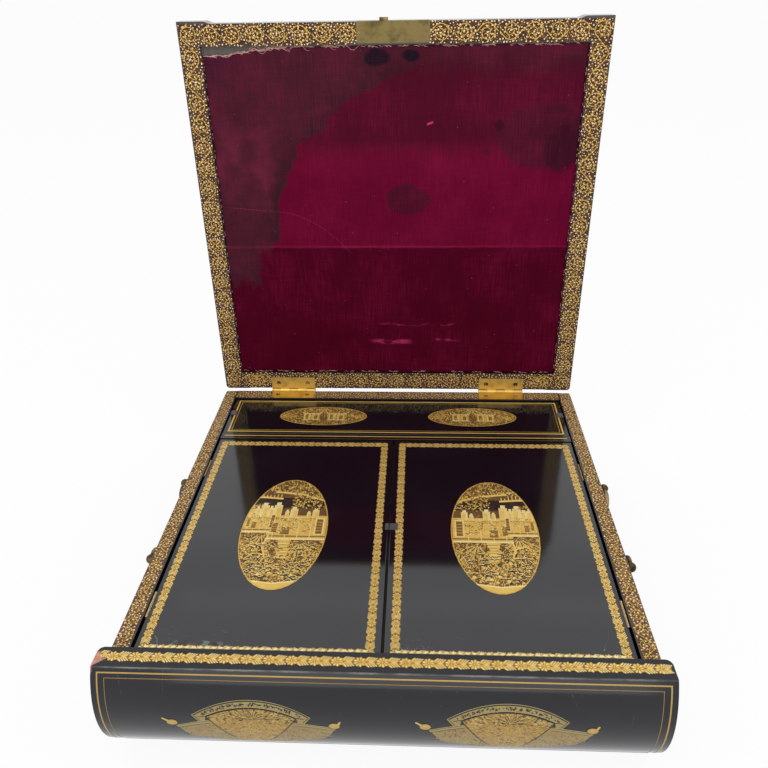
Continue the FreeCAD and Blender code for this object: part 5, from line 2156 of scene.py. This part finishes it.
@dataclass
class Lid:
    """The open lid: rim with scroll, worn velvet, lock and hinge leaves."""

    shop: Workshop
    half_width: float = 165.0
    recess_half: float = 148.8
    low: float = 72.9
    recess_low: float = 89.7
    recess_high: float = 375.3
    high: float = 391.3
    face: float = 161.8
    outside: float = 175.4
    floor: float = 164.2
    velvet_face: float = 163.0
    velvet_half: float = 148.4
    velvet_low: float = 90.1
    velvet_high: float = 374.9
    crease: float = 213.6
    pitch: float = 16.4
    scroll_size: float = 1.36
    turned: float = 466.0
    hinge_x: float = 99.5
    hinge_half: float = 21.4
    leaf_top: float = 84.6
    lock_half: float = 28.2
    margin: float = 0.7

    def build(self) -> None:
        """Dress the lid, paint it and line it."""
        p = self.shop.palette
        self.shop.dress(p.lid_rim, "lid_board")
        self.shop.dress(p.olive_brass, "left_hinge_lid_leaf", "right_hinge_lid_leaf")
        self.shop.dress(p.plate_brass, "lock_plate")
        self.shop.dress(p.dark_brass, "hinge_screws_lid", "lock_pins")
        self.shop.dress(p.brass, "lock_case", "key_post")
        self.shop.dress(p.spring, "lock_spring")
        self._scroll()
        self._outside()
        self._velvet()

    def _scroll(self) -> None:
        """The scroll on the lid's rim, larger than that of the case."""
        m, h = self.margin, self.half_width
        side_x = (h + self.recess_half) / 2
        low_z, high_z = (self.low + self.recess_low) / 2, (self.recess_high + self.high) / 2
        runs = [[(side * side_x, self.low + 8.0), (side * side_x, self.high - 8.0)] for side in (-1, 1)]
        near, far = self.hinge_x - self.hinge_half, self.hinge_x + self.hinge_half
        runs.append([(-near + 8.0, low_z), (near - 8.0, low_z)])
        runs.append([(-side_x + 16.0, low_z), (-far - 7.0, low_z)])
        runs.append([(far + 7.0, low_z), (side_x - 16.0, low_z)])
        runs.append([(-side_x + 16.0, high_z), (-self.lock_half - 8.0, high_z)])
        runs.append([(self.lock_half + 8.0, high_z), (side_x - 16.0, high_z)])
        path = border_path("lid_scroll.path", runs, self.pitch, 2)
        self.shop.run_border(
            "lid_scroll", path, self.shop.scroll, on_lid_inside(self.face), "lid", self.scroll_size,
            self.shop.palette.rim_gold,
        )
        boxes = []
        for side in (-1, 1):
            near_x, far_x = side * (self.recess_half + m * 0.5), side * (h - m)
            boxes.append((min(near_x, far_x), self.low + m, max(near_x, far_x), self.high - 0.3))
        r = self.recess_half
        for x0, z0, x1, z1 in (
            (-r, self.low, -far, self.recess_low), (-far, self.leaf_top, -near, self.recess_low),
            (-near, self.low, near, self.recess_low), (near, self.leaf_top, far, self.recess_low),
            (far, self.low, r, self.recess_low), (-r, self.recess_high, -self.lock_half, self.high),
            (self.lock_half, self.recess_high, r, self.high),
        ):
            boxes.append((x0, z0 + m * 0.5, x1, z1 - m * 0.5))
        self.shop.fill_ground("lid_scroll", boxes, on_lid_inside(self.face), "lid", 8)

    def _outside(self) -> None:
        """A leaf border and a line on the lid's outside, which are guesses."""
        place = on_lid_outside(self.outside, self.turned)
        path = border_path("lid_outside.path", frame_runs(-156.0, 82.0, 156.0, 384.0), LEAF_PITCH)
        self.shop.run_border("lid_outside_border", path, self.shop.leaf_border, place, "lid")
        drawing = Sketch()
        drawing.frame((-150.6, 87.4, 150.6, 378.6), 0.8, 0.74)
        drawing.merge(Garden(62.0, 84.0, 31).draw(1), 0.0, self.turned / 2)
        self.shop.paint("lid_outside_painting", drawing, place, "lid")

    def torn(self, x: float) -> float:
        """Height of the velvet's upper edge at one place, lower where it is torn.

        Args:
            x: The place.

        Returns:
            The height.
        """
        ragged = 0.35 * math.sin(x * 0.45) + 0.2 * math.sin(x * 1.3 + 1.0)
        if x > -80.0:
            return self.velvet_high - 0.6 + 0.4 * ragged
        if x > -122.0:
            return self.velvet_high - 0.6 - 4.0 * (-80.0 - x) / 42.0 + ragged
        return self.velvet_high - 4.6 - 2.0 * min(1.0, (-122.0 - x) / 10.0) + ragged

    def _velvet(self) -> None:
        """The velvet sheet with its torn upper edge, and the threads that hang from its edges."""
        columns, rows = 118, 112
        points: list[Corner] = []
        for back in (False, True):
            for row in range(rows + 1):
                for column in range(columns + 1):
                    x = self.velvet_half * (2 * column / columns - 1)
                    z = self.velvet_low + (self.torn(x) - self.velvet_low) * row / rows
                    fold = 0.22 * math.exp(-(((z - self.crease) / 2.2) ** 2))
                    wave = 0.12 * math.sin(x * 0.031 + 1.0) * math.sin(z * 0.027)
                    y = self.floor - 0.03 if back else self.velvet_face + 0.15 + wave - fold
                    points.append((x * MM, y * MM, z * MM))
        velvet = two_sided("velvet", points, columns, False, self.shop.palette.velvet)
        velvet.data.shade_smooth()
        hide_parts("velvet_lining")
        threads = self._threads().mesh(
            "velvet_threads", on_lid_inside(self.velvet_face), self.shop.palette.thread,
        )
        self.shop.hand_over(velvet, "lid", "velvet")
        self.shop.hand_over(threads, "lid", "velvet")

    def _threads(self) -> Sketch:
        """Loose pale threads along the velvet's upper and lower edges.

        Returns:
            The drawing.
        """
        drawing = Sketch()
        chance = random.Random(17)
        for strand in range(3):
            line = []
            for k in range(96):
                x = -147.6 + k * 0.9
                away = 0.5 * math.sin(k * 0.31 + strand * 2.0) + 0.35 * math.sin(k * 0.13 + strand)
                line.append((x, min(self.torn(x) + 0.15 + away * (0.4 + 0.4 * strand), 374.9)))
            drawing.stroke(line[strand * 5 : 96 - strand * 22], 0.5, 0.5, 2, 0.3)
        for count, left, right, low, high, length in (
            (24, -147.0, -60.0, -0.6, 0.5, 4.0), (16, -112.0, -34.0, -1.0, 2.0, 15.0),
            (70, -60.0, 147.0, 0.2, -0.8, 4.0),
        ):
            for _ in range(count):
                x = chance.uniform(left, right)
                self._thread(drawing, chance, x, self.torn(x) + chance.uniform(low, high), length)
        for _ in range(60):
            x = chance.uniform(-147.0, 147.0)
            self._thread(drawing, chance, x, self.velvet_low + chance.uniform(0.2, 1.2), 4.0)
        for k in range(170):
            x, z = (1, -1)[k % 2] * (self.velvet_half - chance.uniform(0.1, 0.5)), chance.uniform(92.0, 366.0)
            drawing.stroke(((x, z), (x, z + chance.uniform(0.6, 2.4))), 0.4, 0.4, 2, 0.2)
        return drawing

    @staticmethod
    def _thread(drawing: Sketch, chance: random.Random, x: float, z: float, length: float) -> None:
        """One thread, nearly level and a little crooked.

        Args:
            drawing: What it is added to.
            chance: The random numbers.
            x: Its left end.
            z: Its left end.
            length: Its usual length.
        """
        run = chance.uniform(0.5, 1.2) * length
        tilt = chance.uniform(-0.2, 0.2)
        bow, turns = length * chance.uniform(0.05, 0.16), chance.uniform(0.6, 1.5)
        line = []
        for k in range(9):
            share = k / 8
            line.append(
                (x + run * share, z + run * tilt * share + bow * math.sin(2 * math.pi * turns * share))
            )
        line = [(min(max(px, -148.2), 148.2), min(max(pz, 90.2), 374.9)) for px, pz in line]
        drawing.stroke(line, 0.42, 0.5, 2, 0.2)


@dataclass
class Flap:
    """A hinged flap over a paper compartment, with its border, oval garden and silk tab."""

    shop: Workshop
    side: int = 1
    top: float = 67.5
    near: float = 4.64
    far: float = 149.68
    front: float = -154.3
    back: float = 76.2
    band: float = 6.0
    front_margin: float = 2.5
    oval_x: float = 77.1
    oval_y: float = -38.6
    oval_half: Point = (31.9, 60.3)

    def build(self) -> None:
        """Dress the flap and paint it."""
        word = self.word
        body = word + "_flap"
        self.shop.dress(getattr(self.shop.palette, body), body)
        for end in ("front", "rear"):
            self.shop.dress(self.shop.palette.pale_brass, "%s_%s_flap_hinge_moving_leaf" % (word, end))
        inset = self.band / 2
        xs = sorted((self.side * (self.near + inset), self.side * (self.far - inset)))
        runs = frame_runs(xs[0], self.front + self.front_margin + inset, xs[1], self.back - inset)
        path = border_path(body + ".path", runs, LEAF_PITCH)
        self.shop.run_border(body + "_leaf_border", path, self.shop.leaf_border, on_top(self.top), body)
        scene = Garden(*self.oval_half, 11 + self.side).draw(self.side)
        drawing = Sketch()
        drawing.merge(scene, self.side * self.oval_x, self.oval_y)
        # Painted commas on the border's front run, in the palest gold as a painted highlight of light
        # glancing off that edge.
        for k in range(33):
            drawing.leaf(xs[0] + k * 4.2, runs[0][0][1] + 1.0, 0.12, 3.7, 1.8, 1.0, 6)
        self.shop.paint(body + "_garden", drawing, on_top(self.top), body)
        self.shop.paint(body + "_scars", self._scars(), on_top(self.top), body, self.shop.palette.chip)
        self._tab()

    @property
    def word(self) -> str:
        """The flap's side of the box."""
        return "left" if self.side < 0 else "right"

    def _scars(self) -> Sketch:
        """The scratches and chips near the flap's front edge.

        Returns:
            The drawing.
        """
        scars = Sketch()
        if self.side > 0:
            chance = random.Random(4)
            for _ in range(34):
                x, y = chance.uniform(9.0, 30.0), -145.6 + chance.uniform(0.0, 3.4) * chance.random()
                scars.leaf(
                    x, y, chance.uniform(0.6, 2.2), chance.uniform(0.5, 1.3), 0.4, chance.choice((0.5, 0.8)),
                )
            scars.leaf(133.0, -143.4, 0.9, 2.4, 0.8, 1.0)
            scars.stroke(((134.0, -141.0), (138.6, -133.0), (139.4, -126.0)), 0.3, 0.4, 0, 0.15)
            return scars
        scars.stroke(((-142.2, -139.0), (-140.0, -141.6), (-138.3, -147.4)), 0.5, 0.72, 0, 0.6)
        scars.stroke(((-131.4, -147.2), (-127.5, -142.6), (-126.6, -143.2)), 0.55, 0.95, 0, 0.4)
        scars.stroke(((-128.6, -147.4), (-126.2, -144.2)), 0.5, 0.8, 0, 0.3)
        scars.add(
            ((-126.4, -143.0), (-123.6, -144.4), (-120.6, -142.2), (-122.4, -146.4), (-125.0, -146.0)), 0.06,
        )
        scars.add(((-122.0, -146.8), (-119.0, -143.8), (-114.0, -144.2), (-112.8, -147.2)), 0.3)
        scars.add(
            ((-111.6, -147.0), (-110.0, -142.2), (-106.2, -142.9), (-107.6, -145.4), (-109.0, -147.2)), 0.78,
        )
        scars.add(((-109.8, -142.2), (-106.4, -142.9), (-107.6, -144.0)), 1.0, 1)
        scars.add(
            ((-104.6, -143.0), (-102.4, -144.0), (-100.4, -146.6), (-101.8, -147.4), (-104.0, -145.6)), 0.04,
        )
        scars.add(((-102.2, -143.6), (-99.0, -142.6), (-97.4, -145.2), (-99.6, -146.2)), 0.5)
        for x0, y0, x1, y1 in (
            (-140.6, -133.8, -132.0, -136.8), (-134.0, -131.0, -128.0, -137.0),
            (-118.0, -140.2, -108.0, -136.4), (-96.0, -146.0, -84.0, -140.5),
            (-124.0, -139.4, -117.0, -141.6),
        ):
            scars.stroke(((x0, y0), ((x0 + x1) / 2, (y0 + y1) / 2 + 0.5), (x1, y1)), 0.3, 0.35, 0, 0.15)
        return scars

    def _tab(self) -> None:
        """The silk tab at the flap's free edge."""
        word = self.word
        if self.side > 0:
            line = [(0.3, -0.1), (1.2, 0.25), (2.6, 0.42), (4.4, 0.3), (6.4, 0.2)]
        else:
            line = [(-2.9, 0.2), (-2.0, 0.36), (-1.2, 0.42), (-0.4, 0.1)]
        tab = ribbon(word + "_flap_ribbon", line, -33.5, 7.3, self.top + 0.02, self.shop.palette.grey_ribbon)
        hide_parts(word + "_flap_tab")
        self.shop.hand_over(tab, word + "_flap", "silk")


@dataclass
class TrayCover:
    """The loose cover of the pen tray, with its lines, two oval landscapes and silk tabs."""

    shop: Workshop
    top: float = 68.0
    half: float = 148.8
    front: float = 91.4
    back: float = 144.5
    ovals: tuple[float, float] = (-65.8, 70.2)
    oval_y: float = 118.2
    oval_half: Point = (40.0, 15.25)

    def build(self) -> None:
        """Dress the cover and paint it."""
        self.shop.dress(self.shop.palette.black, "tray_cover")
        drawing = Sketch()
        drawing.frame((-self.half, self.front, self.half, self.back), 1.3, 0.74)
        drawing.frame((-self.half + 3.0, self.front + 3.0, self.half - 3.0, self.back - 3.0), 0.5, 0.56)
        self.shop.paint("tray_lines", drawing, on_top(self.top), "tray_cover")
        painting = Sketch()
        for index, x in enumerate(self.ovals):
            painting.merge(self._landscape(index), x, self.oval_y)
        self.shop.paint("tray_landscapes", painting, on_top(self.top), "tray_cover")
        for side, word in ((-1, "left"), (1, "right")):
            line = [
                (side * 146.9, 0.22), (side * 148.4, 0.4), (side * 150.4, 0.46), (side * 152.0, 0.3),
                (side * 152.8, -0.06),
            ]
            tab = ribbon(
                word + "_tray_ribbon", line[::side], 122.6, 7.8, self.top + 0.02,
                self.shop.palette.plum_ribbon,
            )
            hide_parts(word + "_tray_tab")
            self.shop.hand_over(tab, "tray_cover", "silk")

    def _landscape(self, index: int) -> Sketch:
        """A low pavilion between trees and hills, in a long oval.

        Args:
            index: 0 for the left oval, 1 for the right.

        Returns:
            The drawing.
        """
        a, b = self.oval_half
        garden = Garden(a, b, 41 + index)
        s = garden.sketch
        s.box(-a, -b, a, b, 0.3, 0)
        garden.half_x = b * 1.9
        garden.plants((-a, b * 0.3, a, b), 0.6, 1, 0.6)
        garden.plants((-a, -b, a, -b * 0.55), 0.7, 1, 0.58)
        garden.plants((-a, -b * 0.5, -a * 0.5, b * 0.3), 0.7, 1, 0.62)
        garden.plants((a * 0.5, -b * 0.5, a, b * 0.3), 0.7, 1, 0.62)
        garden.half_x = a
        for x0, x1 in ((-0.46, -0.08), (0.1, 0.5)):
            low, high = -b * 0.42, b * 0.28
            s.box(a * x0, low, a * x1, high, 0.78, 4)
            for k in range(12):
                x = a * (x0 + (x1 - x0) * (k + 0.5) / 12)
                s.stroke(((x, low), (x + garden.between(-1, 1), high)), 0.4, (0.5, 0.92, 0.3)[k % 3], 5)
            s.stroke(
                ((a * x0 - 1.5, high + 1.6), (a * x0, high), (a * x1, high), (a * x1 + 1.5, high + 1.6)), 1.0,
                0.94, 6,
            )
            s.box(a * x0 - 1.0, low - 0.8, a * x1 + 1.0, low, 0.9, 6)
            garden.window((a * x0 + 2.0, low + 1.6, a * x0 + 4.6, high - 2.0))
            garden.window((a * x1 - 5.4, low + 1.6, a * x1 - 2.2, high - 3.4))
            for k in range(4):
                garden.shrub(a * (x0 + 0.1 + 0.06 * k), low + b * 0.2, 1.3)
        garden.weeping(a * 0.02, b * 0.9, b * 0.9, -2.8, -0.3, 11)
        for _ in range(9):
            garden.squiggle(garden.between(-a * 0.8, a * 0.8), -b * garden.between(0.5, 0.8), a * 0.12)
        garden.hatch((-a * 0.94, -b * 0.2, -a * 0.62, b * 0.12), 1.1, 1.4, 0.6)
        garden.hatch((a * 0.62, -b * 0.2, a * 0.94, b * 0.12), 1.1, -1.4, 0.6)
        return garden.trimmed()


def ribbon(
    name: str, line: Sequence[Point], middle: float, width: float, height: float, material: Material
) -> Piece:
    """A short silk ribbon that runs along x, with a slightly ragged end.

    Args:
        name: The piece's name.
        line: Points (x, height) of its upper face, from left to right.
        middle: The y of its middle.
        width: Its width.
        height: Height of the face that it lies on.
        material: Its finish.

    Returns:
        The piece.
    """
    columns, thickness = 12, 0.14
    chance = random.Random(len(name))
    points: list[Corner] = []
    for under in (0.0, thickness):
        for index, (x, rise) in enumerate(line):
            for column in range(columns + 1):
                share = column / columns - 0.5
                frayed = chance.uniform(-0.22, 0.22) if index in (0, len(line) - 1) else 0.0
                curl = 0.12 * math.cos(share * 5.0)
                y = middle + share * width * (1.0 - 0.02 * (index % 2))
                z = height + max(rise + curl - under + thickness, 0.0 if under else 0.06)
                points.append(((x + frayed) * MM, y * MM, z * MM))
    return two_sided(name, points, columns, True, material)


@dataclass(frozen=True)
class Studio:
    """The floor, the light and the camera of the photograph, fitted to the rims and the open lid."""

    focal: float = 742.4
    image: float = 768.0
    sensor: float = 36.0
    place: Corner = (0.02025, -0.45698, 0.43006)
    angles: Corner = (-2.973, 29.637, -1.096)
    floor_half: float = 30.0
    floor_glow: float = 0.92
    surround: Point = (0.69, 1.0)
    aim: Corner = (0.0, 0.0, 0.1)
    lamps: tuple[tuple[str, Corner, float, float], ...] = (
        ("key", (-0.7, -0.9, 1.7), 1.3, 6.5), ("fill", (1.2, -0.6, 1.3), 1.2, 3.5),
        ("top", (0.0, 0.2, 2.0), 1.6, 3.5), ("front", (0.0, -2.2, 0.8), 1.6, 8.0),
    )

    def build(self) -> None:
        """Make the stage."""
        self._floor()
        self._world()
        for name, place, size, power in self.lamps:
            self._lamp(name, place, size, power)
        self._camera()

    def _floor(self) -> None:
        """A pale floor that keeps the object's shadow."""
        mesh, h = bpy.data.meshes.new("floor"), self.floor_half
        mesh.from_pydata([(-h, -h, 0), (h, -h, 0), (h, h, 0), (-h, h, 0)], [], [(0, 1, 2, 3)])
        bench = Bench("pale floor")
        matt = bench.node("ShaderNodeBsdfDiffuse", None, {"Color": (0.9, 0.9, 0.9)})
        bright = bench.node("ShaderNodeEmission", None, {"Strength": 1.0})
        seen = self._rays(bench, "Is Camera Ray", "Is Glossy Ray") * self.floor_glow
        mixed = bench.node("ShaderNodeMixShader", None, {0: seen, 1: matt.outputs[0], 2: bright.outputs[0]})
        bench.node("ShaderNodeOutputMaterial", None, {"Surface": mixed.outputs[0]})
        mesh.materials.append(bench.material)
        linked("floor", mesh)

    @staticmethod
    def _rays(bench: Bench, *kinds: str) -> Signal:
        """1 for rays of any of these kinds.

        Args:
            bench: Where the nodes are made.
            *kinds: The kinds, as outputs of Light Path.

        Returns:
            The value.
        """
        light = bench.node("ShaderNodeLightPath").outputs
        seen = Signal(bench, light[kinds[0]])
        for kind in kinds[1:]:
            seen = seen.most(Signal(bench, light[kind]))
        return seen

    def _world(self) -> None:
        """A white surround for camera, mirror and glass rays, and a quieter one for diffuse light."""
        world = bpy.data.worlds.new("studio")
        bpy.context.scene.world = world
        bench = Bench("studio", world)
        seen = self._rays(bench, "Is Camera Ray", "Is Glossy Ray", "Is Transmission Ray")
        quiet, white = self.surround
        strength = bench.node("ShaderNodeMapRange", None, {0: seen, 3: quiet, 4: white}).outputs[0]
        back = bench.node("ShaderNodeBackground", None, {"Color": (1.0, 1.0, 1.0), "Strength": strength})
        bench.node("ShaderNodeOutputWorld", None, {"Surface": back.outputs[0]})

    def _lamp(self, name: str, place: Corner, size: float, power: float) -> None:
        """A soft square lamp that looks at the box.

        Args:
            name: Its name.
            place: Where it stands, in metres.
            size: Its side in metres.
            power: Its power in watts.
        """
        light = bpy.data.lights.new(name, "AREA")
        light.size, light.energy = size, power
        lamp = bpy.data.objects.new(name, light)
        bpy.context.scene.collection.objects.link(lamp)
        lamp.location = place
        lamp.rotation_euler = (Vector(self.aim) - Vector(place)).to_track_quat("-Z", "Y").to_euler()

    def _camera(self) -> None:
        """The camera, turned by yaw, pitch and roll."""
        data = bpy.data.cameras.new("camera")
        data.sensor_width = self.sensor
        data.lens = self.sensor * self.focal / self.image
        yaw, pitch, roll = (math.radians(v) for v in self.angles)
        ahead = Vector((math.sin(yaw) * math.cos(pitch), math.cos(yaw) * math.cos(pitch), -math.sin(pitch)))
        level = ahead.cross(Vector((0, 0, 1))).normalized()
        up = level.cross(ahead)
        right = level * math.cos(roll) + up * math.sin(roll)
        above = up * math.cos(roll) - level * math.sin(roll)
        camera = bpy.data.objects.new("camera", data)
        rows = [(right[k], above[k], -ahead[k], self.place[k]) for k in range(3)]
        camera.matrix_world = Matrix(rows + [(0, 0, 0, 1)])
        bpy.context.scene.collection.objects.link(camera)
        bpy.context.scene.camera = camera
        bpy.context.scene.view_settings.view_transform = "Standard"


def main() -> None:
    """Build and dress every sub-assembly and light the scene."""
    logging.basicConfig(level=logging.INFO, format="%(message)s", stream=sys.stdout)
    shop = Workshop()
    for part in (Case(shop), Lid(shop), Flap(shop, -1), Flap(shop, 1), TrayCover(shop)):
        part.build()
    shop.dress(shop.palette.dark_brass, "left_bail", "right_bail", "lock_bolt")
    shop.clear()
    Studio().build()


if __name__ == "__main__":
    main()
